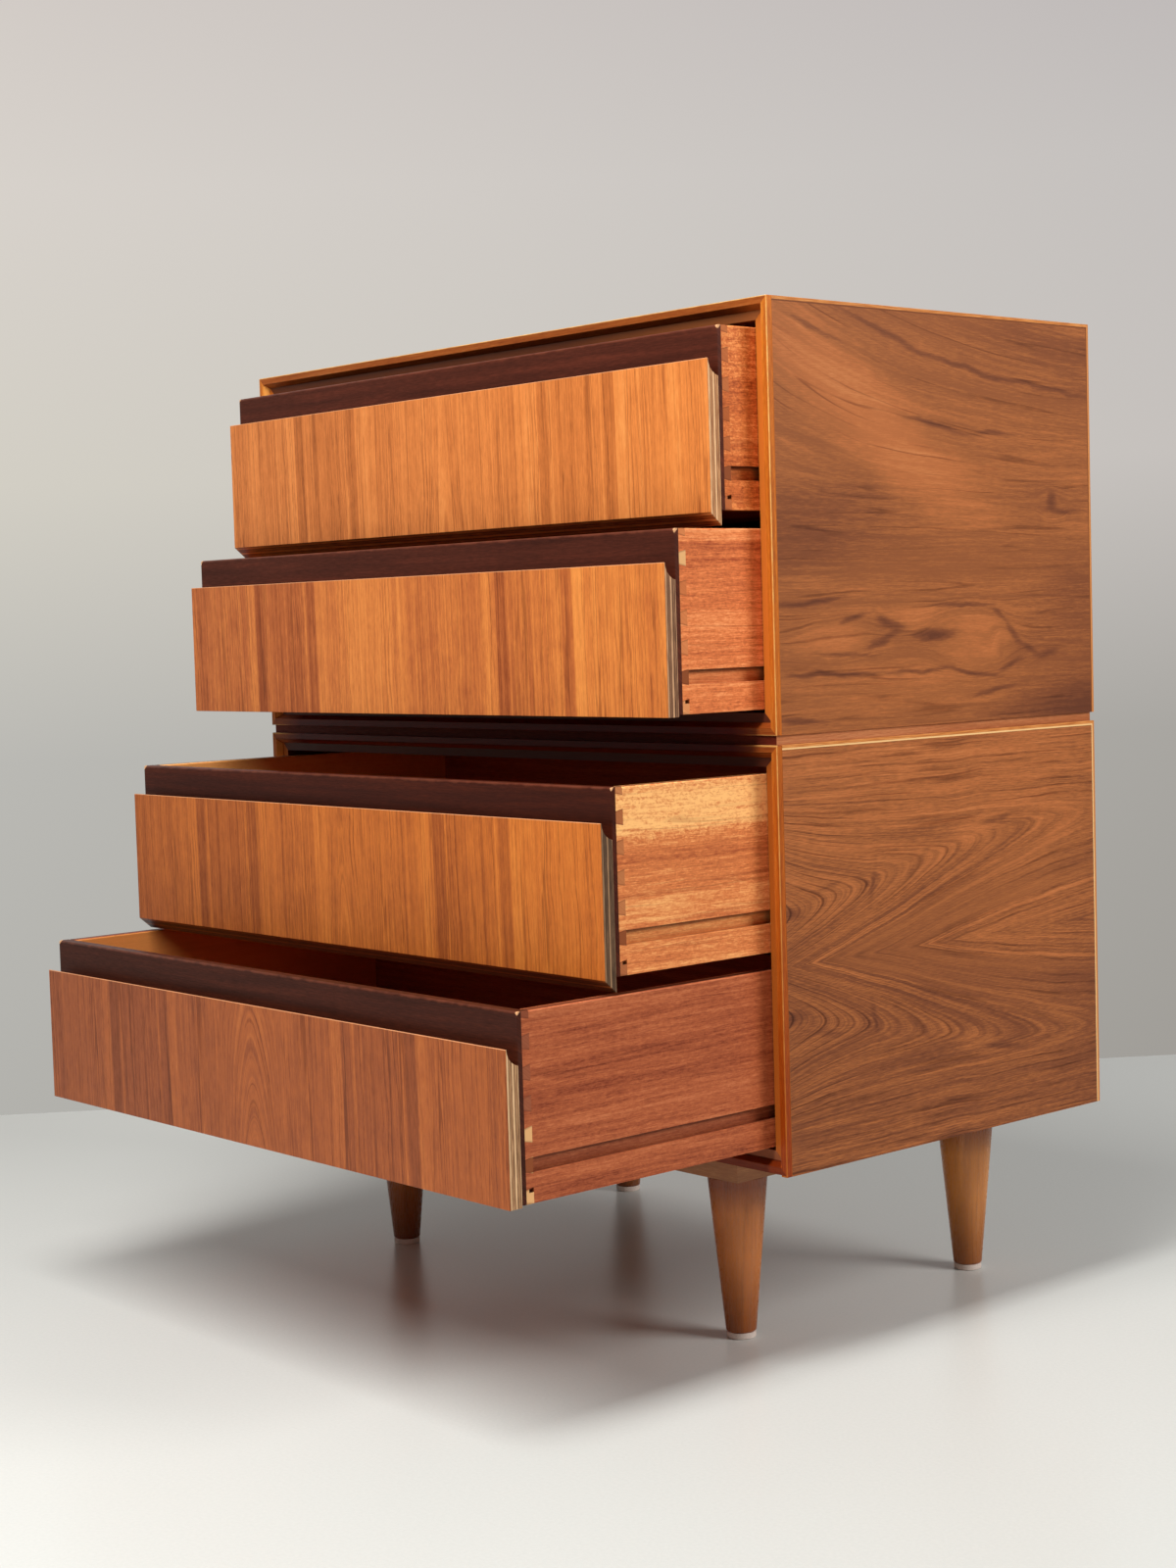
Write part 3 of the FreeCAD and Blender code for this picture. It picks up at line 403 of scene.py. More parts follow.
def strip_wood(name):
    """Solid walnut of an orange stick, moulded and lacquered: straight grain, satin shine, worn by hands."""
    add, x, y, z = new_material(name)
    above = add("GREATER_THAN", (z, gap_middle))
    middle = add("Mix", (above, lower_middle, upper_middle))
    up = add("ABSOLUTE", (add("SUBTRACT", (z, middle)),))
    out = add("ABSOLUTE", (x,))
    to_end = add("SUBTRACT", (half_height, up))
    to_side = add("SUBTRACT", (side_face, out))
    upright = add("LESS_THAN", (to_side, to_end))
    rim = add("MINIMUM", (to_side, to_end))
    length = add("Mix", (upright, x, z))
    across = add("Mix", (upright, to_end, to_side))
    field = add("MULTIPLY_ADD", (y, 0.7, across))
    tone, _, grit = growth(add, field, length, seed=3.0, band=14.0, layer=4.0, pencil=7.0, drift=8.0)
    colour = add("ValToRGB", (tone,), stops=(
        (0.34, "#964A12"), (0.46, "#C0661E"), (0.56, "#DA7C28"), (0.68, "#EE9A46")))
    # The bevels of the upright strips carry painted light, a paler colour standing in for the light they
    # miss, and the level strips came from a duller and pinker stick
    painted_bevel_light = add("MULTIPLY", (add("MapRange", (rim, flat_width - 0.5, flat_width + 1.0, 0.0, 0.85)),
                                 upright))
    colour = add("Mix", (painted_bevel_light, colour, "#FFB056"), data_type="RGBA")
    level_strip = add("SUBTRACT", (0.95, upright))
    colour = add("Mix", (level_strip, colour, "#C3B4D3"), data_type="RGBA", blend_type="MULTIPLY")
    # The outer arris is rubbed pale, a line that also serves as its painted highlight, but not between the
    # carcases, where the strips lie in painted shade
    arris = add("ADD", (rim, add("SUBTRACT", (y, front_edge))))
    rubbed_and_highlight = add("MapRange", (add("MULTIPLY_ADD", (grit, 1.6, arris)), 1.1, 1.9, 0.9, 0.0))
    off_gap = add("ABSOLUTE", (add("SUBTRACT", (z, gap_middle)),))
    painted_gap_shade = add("MULTIPLY", (add("MapRange", (off_gap, 9.0, 30.0, 1.0, 0.0)),
                              add("MapRange", (out, 335.0, 372.0, 1.0, 0.0))))
    rubbed_and_highlight = add("MULTIPLY", (rubbed_and_highlight, add("SUBTRACT", (1.0, painted_gap_shade))))
    colour = add("Mix", (rubbed_and_highlight, colour, "#F8C070"), data_type="RGBA")
    # Low down the strips are duller and browner, and between the carcases they are darkened with painted
    # shade
    low_down = add("MapRange", (z, 220.0, 860.0, 1.0, 0.0))
    colour = add("Mix", (low_down, colour, "#B28250"), data_type="RGBA", blend_type="MULTIPLY")
    colour = add("Mix", (painted_gap_shade, colour, "#B4503C"), data_type="RGBA", blend_type="MULTIPLY")
    # Painted shade: a dark line in the corner where the bevel ends
    painted_corner_shade = add("MapRange", (rim, 10.6, 11.5, 0.0, 0.5))
    colour = add("Mix", (painted_corner_shade, colour, "#3C1508"), data_type="RGBA")
    lacquer(add, colour, grit, dull=0.36, shine=0.46)
    return bpy.data.materials[name]


edging_wood = strip_wood("solid_edging_lacquered")
for level in ("upper", "lower"):
    finish(f"{level}_front_edging", edging_wood, arris=0.5)


# Backs
# Thin plywood sheets let into rebates behind the drawers, stained and left unpolished.

def plain_ply(name, shades, seed, way):
    """Plywood with a rotary-cut face, stained but not lacquered: a wide, blurred figure and no shine."""
    add, x, y, z = new_material(name)
    length, across = (x, y) if way == "x" else (z, x)
    tone, _, grit = growth(add, across, length, seed=seed, band=60.0, layer=14.0, pencil=30.0, drift=60.0,
                           run=300.0)
    colour = add("ValToRGB", (tone,), stops=shades)
    lacquer(add, colour, grit, dull=0.6, shine=0.75, relief=0.1)
    return bpy.data.materials[name]


ply_back_shades = ((0.34, "#4A2A18"), (0.5, "#6E442A"), (0.66, "#8E603C"))
back_wood = plain_ply("back_plywood_stained", ply_back_shades, 4.0, "z")
for level in ("upper", "lower"):
    finish(f"{level}_back", back_wood, arris=0)


# Spacer
# Four strips set back between the carcases, stained dark in front and behind, and left clear at the ends.

def stained(name, shades, seed, way="x", dull=0.34, shine=0.44, gloss=0.32):
    """Solid wood, planed, stained or left clear and lacquered: straight grain, evened out by the stain.

    Way is the axis that the grain follows. Dull and shine are the roughness in the pores and between them.
    """
    add, x, y, z = new_material(name)
    length, across = (x, z) if way == "x" else (y, z) if way == "y" else (z, x)
    field = add("MULTIPLY_ADD", (y if way != "y" else x, 0.8, across))
    tone, _, grit = growth(add, field, length, seed=seed, band=30.0, layer=7.0, pencil=14.0, run=260.0)
    colour = add("ValToRGB", (tone,), stops=shades)
    lacquer(add, colour, grit, dull=dull, shine=shine, gloss=gloss)
    return bpy.data.materials[name]


dark_shades = ((0.34, "#401408"), (0.5, "#622214"), (0.66, "#803822"))
bare_shades = ((0.34, "#94501F"), (0.5, "#B4683A"), (0.66, "#D48A58"))
for side in ("front", "back"):
    finish(f"spacer_{side}", stained(f"spacer_dark_stain_{side}", dark_shades, 5.0, "x", 0.5, 0.6, 0.12),
           arris=0.3)
for side in ("right", "left"):
    finish(f"spacer_{side}", stained(f"spacer_clear_lacquer_{side}", bare_shades, 5.0, "y", 0.4, 0.5),
           arris=0.3)


# Leg frame and corner blocks
# Mitred rails screwed under the lower carcase, with a block in each corner that takes a leg's spigot.

frame_shades = ((0.30, "#744A2A"), (0.5, "#9A643C"), (0.70, "#C08852"))
for side, way in (("front", "x"), ("back", "x"), ("right", "y"), ("left", "y")):
    finish(f"leg_frame_{side}", stained(f"leg_frame_wood_{side}", frame_shades, 7.0, way))
finish("frame_corner_blocks", stained("corner_block_wood", frame_shades, 8.0, "z"))


# Legs
# Turned from straight-grained wood, tapering from under the frame to the pad, and polished on the lathe.

# Radii and lengths in mm, and the faces round a leg
foot_radius, top_radius = 14.5, 28.5
foot_round, shoulder_round = 1.5, 0.5
spigot_radius, spigot_taper, spigot_length = 9.5, 2.0, 24.0
leg_faces = 96
# The tree's heart lay this far outside each leg, so the taper crosses the rings in long pointed arches
heart_x, heart_y = 34.0, 21.0


def leg_wood(name, centre, seed, shades):
    """Solid walnut, turned, sanded on the lathe and lacquered: a narrow and fairly glossy light runs down."""
    add, x, y, z = new_material(name)
    across = add("SUBTRACT", (x, centre.x / mm + heart_x))
    deep = add("SUBTRACT", (y, centre.y / mm + heart_y))
    ring = add("VectorMath", (add("CombineXYZ", (across, deep, 0.0)),), operation="LENGTH")
    tone, line, grit = growth(add, ring, z, seed=seed, band=26.0, layer=6.0, pencil=9.0, drift=9.0, run=120.0)
    tone = add("MapRange", (tone, 0.3, 0.7, 0.43, 0.57))
    colour = add("ValToRGB", (tone,), stops=shades)
    colour = streaked(add, colour, line, "#5E3418", 0.2)
    # The stain pooled towards the foot, and painted shade darkens the top under the frame
    pooled_stain_and_shade = add("MAXIMUM", (add("MapRange", (z, 6.0, 80.0, 0.6, 0.0)),
                             add("MapRange", (z, 122.0, 148.0, 0.0, 0.75))))
    colour = add("Mix", (pooled_stain_and_shade, colour, "#8A5636"), data_type="RGBA", blend_type="MULTIPLY")
    lacquer(add, colour, grit, dull=0.24, shine=0.32, gloss=0.45)
    return bpy.data.materials[name]


def turned(name, profile, centre, material):
    """A piece spun on the lathe from (radius, height) points in metres about an upright axis."""
    form = bmesh.new()
    rim = [form.verts.new((radius, 0, height)) for radius, height in profile]
    edges = [form.edges.new(pair) for pair in zip(rim, rim[1:])]
    bmesh.ops.spin(form, geom=rim + edges, cent=(0, 0, 0), axis=(0, 0, 1), angle=2 * math.pi, steps=leg_faces,
                   use_merge=True)
    bmesh.ops.remove_doubles(form, verts=form.verts, dist=0.001 * mm)
    bmesh.ops.recalc_face_normals(form, faces=form.faces)
    for edge in form.edges:
        edge.smooth = edge.calc_face_angle(0.0) < math.radians(25)
    for face in form.faces:
        face.smooth = True
    bmesh.ops.translate(form, verts=form.verts, vec=(centre.x, centre.y, 0))
    mesh = bpy.data.meshes.new(name)
    form.to_mesh(mesh)
    form.free()
    piece = bpy.data.objects.new(name, mesh)
    bpy.context.scene.collection.objects.link(piece)
    mesh.materials.append(material)
    return piece


leg_shades = {
    "front_left": ((0.34, "#642C10"), (0.45, "#8C4A1E"), (0.55, "#AC642C"), (0.66, "#C47E44")),
    "front_right": ((0.34, "#7A3C18"), (0.45, "#AA602A"), (0.55, "#D07C38"), (0.66, "#EC9E56")),
    "rear_left": ((0.34, "#6A3616"), (0.45, "#965626"), (0.55, "#B87034"), (0.66, "#D69250")),
    "rear_right": ((0.34, "#80461E"), (0.45, "#B87034"), (0.55, "#DE9048"), (0.66, "#F8B468")),
}
for count, corner in enumerate(leg_shades):
    low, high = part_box(f"{corner}_leg")
    centre = (low + high) / 2
    shoulder = high.z - spigot_length * mm
    foot, top = foot_radius * mm, top_radius * mm
    foot_arris, top_arris = foot_round * mm, shoulder_round * mm
    profile = [(0, low.z), (foot - foot_arris, low.z), (foot, low.z + foot_arris)]
    profile += [(top, shoulder - top_arris), (top - top_arris, shoulder)]
    profile += [(spigot_radius * mm, shoulder), (spigot_radius * mm, high.z - spigot_taper * mm)]
    profile += [((spigot_radius - spigot_taper) * mm, high.z), (0, high.z)]
    wood = leg_wood(f"leg_wood_{corner}", centre, 10.0 + count, leg_shades[corner])
    leg = turned(f"turned_leg_{corner}", profile, centre, wood)
    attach(leg, "cabinet")
    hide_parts(f"{corner}_leg")


# Foot glides
# Round pads of pale felt stuck under the legs, a little fluffed.

def felt(name):
    """Pressed wool felt: pale and matt, with fluff of about a millimetre and a faint bloom at its rim."""
    add, x, y, z = new_material(name)
    place = add("CombineXYZ", (x, y, z))
    fluff = add("TexNoise", {"Vector": place, "Scale": 1.2, "Detail": 4.0, "Roughness": 0.7})
    colour = add("ValToRGB", (fluff,), stops=((0.3, "#CDB6AA"), (0.5, "#E6D2C6"), (0.7, "#F4E6DC")))
    normal = add("Bump", {"Height": fluff, "Strength": 0.6, "Distance": 0.3 * mm})
    shader = add("BsdfPrincipled", {"Base Color": colour, "Roughness": 0.95, "Normal": normal,
                                    "Sheen Weight": 0.3})
    add("OutputMaterial", (shader,))
    return bpy.data.materials[name]


finish("foot_glides", felt("felt_glide"), arris=0)


# False fronts
# Plywood panels glued to the drawer boxes, faced with teak leaves book-matched about the middle.
# Their ends show the plies. A cove behind the top lip is the finger pull, and the foot is bevelled behind.

face_veneer = 0.8
front_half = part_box("drawer_1_false_front")[1].x / mm
# One dark line in this width. Real ones are closer and half as wide, too fine to show
line_pitch = 5.2

# Leaf edges and heartwood stripes lie at the same distances from the middle on every front: distance, half
# width and how much paler
leaf_bands = (
    (134.0, 10.0, 0.03), (149.5, 8.0, -0.065), (160.5, 1.8, 0.045), (197.0, 38.0, -0.03), (212.0, 1.8, -0.04),
    (176.0, 1.6, -0.04), (189.0, 1.4, -0.03), (231.0, 1.8, 0.045), (242.5, 8.5, -0.07), (259.0, 9.0, 0.035),
    (287.0, 1.8, -0.03), (301.0, 1.6, -0.03), (96.0, 1.6, -0.03), (72.0, 1.4, -0.03), (108.0, 1.4, -0.025),
    (345.0, 12.0, -0.02))
# Point is how pointed the arches of the heart are, and rise how much paler the front grows to the right, a
# painted light gradient.
# Marks are bands at a distance from the middle, and arches are bands along the layers of the heart
teak_looks = {
    "drawer_1": dict(
        shades=((0.34, "#A65A2A"), (0.45, "#D0783E"), (0.54, "#EA8E4C"), (0.66, "#FCAE68")),
        point=0.03, rise=0.02, plies=((0.0, "#70442A"), (0.5, "#BE8658"), (1.0, "#EEC090")),
        marks=((10.0, 16.0, -0.03),), arches=((-2.0, 1.6, -0.03), (6.0, 1.4, -0.02))),
    "drawer_2": dict(
        shades=((0.34, "#944824"), (0.45, "#BE6838"), (0.54, "#DE8444"), (0.66, "#FAA256")),
        point=0.0, rise=0.06, plies=((0.0, "#462C1C"), (0.5, "#8C6246"), (1.0, "#CE9E76")),
        marks=((-68.0, 74.0, 0.05), (-4.0, 3.0, 0.03), (64.0, 64.0, -0.025), (150.0, 22.0, -0.06),
               (-330.0, 60.0, 0.02), (340.0, 40.0, -0.02)), arches=()),
    "drawer_3": dict(
        shades=((0.34, "#8A421C"), (0.45, "#B6622E"), (0.54, "#D47836"), (0.66, "#F09446")),
        point=0.05, rise=0.05, plies=((0.0, "#2E1E14"), (0.5, "#604632"), (1.0, "#9A7656")),
        marks=((-34.0, 14.0, 0.05), (20.0, 30.0, 0.01), (110.0, 8.0, -0.04), (156.0, 24.0, -0.035)),
        arches=()),
    "drawer_4": dict(
        shades=((0.34, "#763A1C"), (0.45, "#985232"), (0.54, "#B46438"), (0.66, "#D08048")),
        point=0.32, rise=0.02, plies=((0.0, "#5E3E26"), (0.5, "#AA7E58"), (1.0, "#E2B88C")),
        marks=((0.0, 38.0, 0.03),),
        arches=((7.5, 2.2, -0.05), (-1.0, 1.8, -0.03), (-14.0, 3.0, -0.04), (19.0, 2.4, -0.045),
                (27.0, 2.0, -0.03))),
}


def teak_face(name, drawer, seed):
    """Teak veneer, sliced, sanded and oiled: fine upright dark lines, arches in the heart, a satin shine."""
    add, x, y, z = new_material(name)
    low, high = (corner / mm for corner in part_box(f"{drawer}_false_front"))
    look = teak_looks[drawer]
    down = add("SUBTRACT", (high.z, z))
    lean = add("MULTIPLY_ADD", (down, -0.02, x))
    apart = add("ABSOLUTE", (lean,))
    # Nested arches in the heart of the leaf, which straighten into upright lines further out
    fade = add("MapRange", (apart, 8.0, 60.0, look["point"], 0.0), interpolation_type="SMOOTHSTEP")
    arch = add("SQRT", (add("MULTIPLY_ADD", (apart, apart, 90.0)),))
    drop = add("MULTIPLY", (add("SUBTRACT", (down, 30.0)), fade))
    field = add("SUBTRACT", (arch, drop))
    tone, line, grit = growth(add, field, z, across=x, seed=seed, band=16.0, layer=2.4, pencil=6.0, pore=0.9,
                              drift=6.0, run=500.0, fine=0.66, stroke=0.04, stretch=110.0)
    tone = add("MapRange", (tone, 0.3, 0.7, 0.39, 0.61))
    # Faint mottling, where the fibres dip and the lacquer shows them paler or darker
    mottle = patches(add, add("CombineXYZ", (x, z, 5.0 * seed)), (11, 26), 3.0, 0.6)
    tone = add("MULTIPLY_ADD", (add("ADD", (mottle, -0.5)), 0.14, tone))
    # Late wood in upright lines, one to each line pitch, their place and strength in it left to chance
    wander = patches(add, add("CombineXYZ", (x, z, 9.0 * seed)), (160, 110), 2.0)
    row = add("MULTIPLY", (add("MULTIPLY_ADD", (wander, 18.0, field)), 1 / line_pitch))
    chance = add("TexWhiteNoise", {"W": add("ADD", (add("FLOOR", (row,)), seed))},
                 noise_dimensions="1D").node.outputs["Color"]
    chance = add("SeparateXYZ", (chance,)).node.outputs
    away = add("SUBTRACT", (add("FRACT", (row,)), add("MapRange", (chance[0], 0.0, 1.0, 0.2, 0.8))))
    away = add("MULTIPLY", (add("ABSOLUTE", (away,)), line_pitch))
    crowd = patches(add, add("CombineXYZ", (x, z, 7.0 * seed)), (34, 300), 1.0)
    strong = add("MULTIPLY", (add("MapRange", (chance[1], 0.15, 1.0, 0.0, 1.0)),
                              add("MapRange", (crowd, 0.35, 0.62, 0.25, 1.0))))
    fine = add("MULTIPLY", (add("MapRange", (away, 0.4, 1.2, 1.0, 0.0)), strong))
    broken = add("MapRange", (grit, 0.3, 0.6, 1.0, 0.4))
    line = add("MAXIMUM", (add("MULTIPLY", (fine, broken)), add("MULTIPLY", (line, 0.6))))
    tone = bands(add, bands(add, tone, apart, leaf_bands, crisp=0.75), lean, look["marks"])
    tone = bands(add, tone, field, look["arches"])
    # Painted light: paler towards the right
    tone = add("MULTIPLY_ADD", (lean, look["rise"] / front_half, tone))
    colour = add("ValToRGB", (tone,), stops=look["shades"])
    colour = streaked(add, colour, line, "#6E3210", 0.75)
    # Painted light: the front grows warmer towards its right end
    painted_light_rightward = add("MapRange", (x, -front_half, front_half, 0.0, 1.0))
    colour = add("Mix", (painted_light_rightward, colour, "#FFF8E2"), data_type="RGBA", blend_type="MULTIPLY")
    # The lip's top edge is rubbed pale
    lip = add("LESS_THAN", (down, 0.6))
    colour = add("Mix", (add("MULTIPLY", (lip, 0.6)), colour, "#F4B080"), data_type="RGBA")
    # Plies in the thickness: everything behind the face veneer, drawn thicker than they are so that they show
    depth = add("SUBTRACT", (y, low.y))
    behind = add("GREATER_THAN", (depth, face_veneer))
    share = add("MapRange", (depth, 0.0, high.y - low.y, 0.0, 1.0))
    plies = add("ValToRGB", (share,), stops=(
        (0.06, "#404040"), (0.10, "#F0F0F0"), (0.20, "#F0F0F0"), (0.23, "#202020"), (0.28, "#B0B0B0"),
        (0.42, "#A8A8A8"), (0.45, "#101010"), (0.50, "#E8E8E8"), (0.62, "#FFFFFF"), (0.66, "#383838"),
        (0.72, "#989898"), (0.84, "#B8B8B8"), (0.88, "#202020"), (0.94, "#D8D8D8")))
    fleck = patches(add, add("CombineXYZ", (x, depth, z)), (20, 5 / 3, 20), 4.0, 0.7)
    fleck = add("MapRange", (fleck, 0.3, 0.7, -0.3, 0.3))
    plies = add("ValToRGB", (add("ADD", (plies, fleck)),), stops=look["plies"])
    # The bevel under the foot and the finger cove were wiped over with stain, the sawn ends were not
    within = add("LESS_THAN", (add("ABSOLUTE", (x,)), front_half - 0.5))
    wiped = add("Mix", (within, (1, 1, 1, 1), "#FFC08C"), data_type="RGBA")
    plies = add("Mix", (1.0, plies, wiped), data_type="RGBA", blend_type="MULTIPLY")
    colour = add("Mix", (behind, colour, plies), data_type="RGBA")
    lacquer(add, colour, grit, dull=0.36, shine=0.46)
    return bpy.data.materials[name]


drawers = tuple(teak_looks)
for count, drawer in enumerate(drawers):
    finish(f"{drawer}_false_front", teak_face(f"teak_veneer_{drawer}", drawer, 20.0 + count), arris=0.35)


# Box fronts
# Solid mahogany fronts of the drawer boxes, their faces stained dark where they show above the finger pull.
# At the ends the stain stops at the lap, and the half-blind pins show their bare end grain between the tails.

# The pins' pitch, the wood left in front of the sockets, and a pin's half width behind that and at its root,
# in mm. The middle of the runner groove is at this height over the drawer's lower edge
dovetail_pitch = 25.4
lap = 4.5
pin_half = (5.25, 7.0)
groove_height, groove_half = 31.75, 6.2
stain_shades = {
    "drawer_1": ((0.34, "#34140C"), (0.5, "#4E2317"), (0.66, "#6C3222")),
    "drawer_2": ((0.34, "#34140C"), (0.5, "#4E2317"), (0.66, "#6C3222")),
    "drawer_3": ((0.34, "#2A0F08"), (0.5, "#40190F"), (0.66, "#562414")),
    "drawer_4": ((0.34, "#2A120A"), (0.5, "#421E14"), (0.66, "#5A2A1A")),
}
# End grain of the pins, and its pale sapwood: the middle of that stretch under the top, and half its height
pin_looks = {
    "drawer_1": (((0.2, "#A4562C"), (0.5, "#B46438"), (0.8, "#C47A48")), (0.0, 0.0)),
    "drawer_2": (((0.2, "#C06A3C"), (0.5, "#D07C4A"), (0.8, "#E09A64")), (22.0, 14.0)),
    "drawer_3": (((0.2, "#A05C38"), (0.5, "#B87044"), (0.8, "#CC8C5A")), (0.0, 0.0)),
    "drawer_4": (((0.2, "#80402A"), (0.5, "#96543A"), (0.8, "#A86646")), (131.0, 39.0)),
}


def box_front_wood(name, drawer, seed):
    """Mahogany, planed, stained a black-brown and lacquered: a dark, even face that takes a little light."""
    add, x, y, z = new_material(name)
    low, high = (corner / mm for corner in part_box(f"{drawer}_box_front"))
    tone, _, grit = growth(add, add("MULTIPLY_ADD", (y, 0.8, z)), x, seed=seed, band=30.0, layer=7.0,
                           pencil=14.0, run=260.0)
    colour = add("ValToRGB", (tone,), stops=stain_shades[drawer])
    # Stain is rubbed through along the top edges, a pale line that also serves as their painted highlight,
    # and a corner is chipped
    out = add("SUBTRACT", (high.x, add("ABSOLUTE", (x,))))
    top = add("SUBTRACT", (high.z, z))
    deep = add("SUBTRACT", (y, low.y))
    patchy = add("TexNoise", {"Vector": add("CombineXYZ", (x, y, z)), "Scale": 0.08, "Detail": 4.0})
    arris = add("MULTIPLY_ADD", (patchy, -6.0, add("ADD", (top, deep))))
    rubbed_and_highlight = add("MapRange", (arris, -2.2, -0.6, 0.3, 0.0))
    colour = add("Mix", (rubbed_and_highlight, colour, "#8A4A34"), data_type="RGBA")
    corner = add("MULTIPLY_ADD", (patchy, -14.0, add("ADD", (top, add("ADD", (out, deep))))))
    chipped = add("MapRange", (corner, -4.6, -4.0, 1.0, 0.0))
    colour = add("Mix", (chipped, colour, "#E0A878"), data_type="RGBA")
    # Pins: each with end grain of its own shade
    pin = add("FLOOR", (add("MULTIPLY_ADD", (top, 1 / dovetail_pitch, 0.5)),))
    chance = add("TexWhiteNoise", {"W": add("ADD", (pin, seed))}, noise_dimensions="1D")
    shade = add("MULTIPLY_ADD", (grit, 0.5, add("MULTIPLY", (chance, 0.5))))
    end_grain, sapwood = pin_looks[drawer]
    bare = add("ValToRGB", (shade,), stops=end_grain)
    pale = add("COMPARE", (top, *sapwood))
    bare = add("Mix", (pale, bare, "#E2AC74"), data_type="RGBA")
    at_end = add("LESS_THAN", (out, 0.4))
    at_end = add("MULTIPLY", (at_end, add("GREATER_THAN", (deep, lap))))
    # The lowest pin but one was cut through with the runner groove
    grooved = add("COMPARE", (top, high.z - low.z - groove_height, groove_half))
    bare = add("Mix", (grooved, bare, "#8A4A2A"), data_type="RGBA")
    # Glue has darkened the joint round each pin
    share = add("MULTIPLY_ADD", (top, 1 / dovetail_pitch, add("MULTIPLY", (pin, -1.0))))
    away = add("ABSOLUTE", (add("MULTIPLY", (share, dovetail_pitch)),))
    half = add("MapRange", (deep, lap, high.y - low.y, *pin_half))
    seam = add("MapRange", (add("SUBTRACT", (half, away)), 0.4, 1.4, 0.4, 0.0))
    bare = add("Mix", (seam, bare, "#5A2412"), data_type="RGBA")
    colour = add("Mix", (at_end, colour, bare), data_type="RGBA")
    lacquer(add, colour, grit, dull=0.36, shine=0.46, gloss=0.1)
    return bpy.data.materials[name]


for count, drawer in enumerate(drawers):
    finish(f"{drawer}_box_front", box_front_wood(f"box_front_dark_stain_{drawer}", drawer, 30.0 + count),
           arris=0.6)


# Drawer sides and back boards
# Mahogany boards with grain lengthwise, dovetailed to the box front, and the back board housed between them.
# Each pair of sides was cut from a different board, so their colour and figure differ from drawer to drawer.

# Half the box's width outside, and how far from the middle the sides' inner faces and the groove's bed are
box_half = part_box("drawer_1_right_side")[1].x / mm
inner_side, groove_bed = box_half - 11.5, box_half - 5.0
# Zones lie by height over the drawer's lower edge: middle, half height and how much paler. Crisp is their
# flat share, speckle is how strong the ripple shows low down and high up, and the painted groove tone colours
# the runner groove's bed: painted light on the upper three drawers, painted shade on the lowest
side_looks = {
    "drawer_1": dict(
        shades=((0.34, "#8E3C14"), (0.5, "#CE6C32"), (0.66, "#F6A25A")), zones=((60.0, 30.0, -0.03),),
        crisp=0.5, speckle=(0.35, 0.455), groove="#C07840"),
    "drawer_2": dict(
        shades=((0.34, "#A24824"), (0.5, "#E07C44"), (0.66, "#FFAE70")), crisp=0.5,
        zones=((118.0, 40.0, -0.04), (137.0, 14.0, -0.04), (155.0, 8.0, 0.07), (60.0, 50.0, 0.015)),
        speckle=(0.21, 0.21), groove="#CC8048"),
    # Drawer 3's pale zone high up is partly the board's figure and partly a painted sheen
    "drawer_3": dict(
        shades=((0.34, "#A4502A"), (0.5, "#DA7E46"), (0.66, "#FFC078")), crisp=0.8,
        zones=((164.0, 50.0, 0.14), (96.0, 30.0, -0.03), (52.0, 14.0, 0.04)),
        speckle=(0.175, 0.385), groove="#D08C4C"),
    "drawer_4": dict(
        shades=((0.34, "#7C341C"), (0.5, "#B05C36"), (0.66, "#D07C50")), crisp=0.5,
        zones=((14.0, 22.0, -0.05), (88.0, 30.0, -0.03), (135.0, 30.0, -0.02), (66.0, 16.0, 0.03)),
        speckle=(0.175, 0.175), groove="#5E2C20"),
}


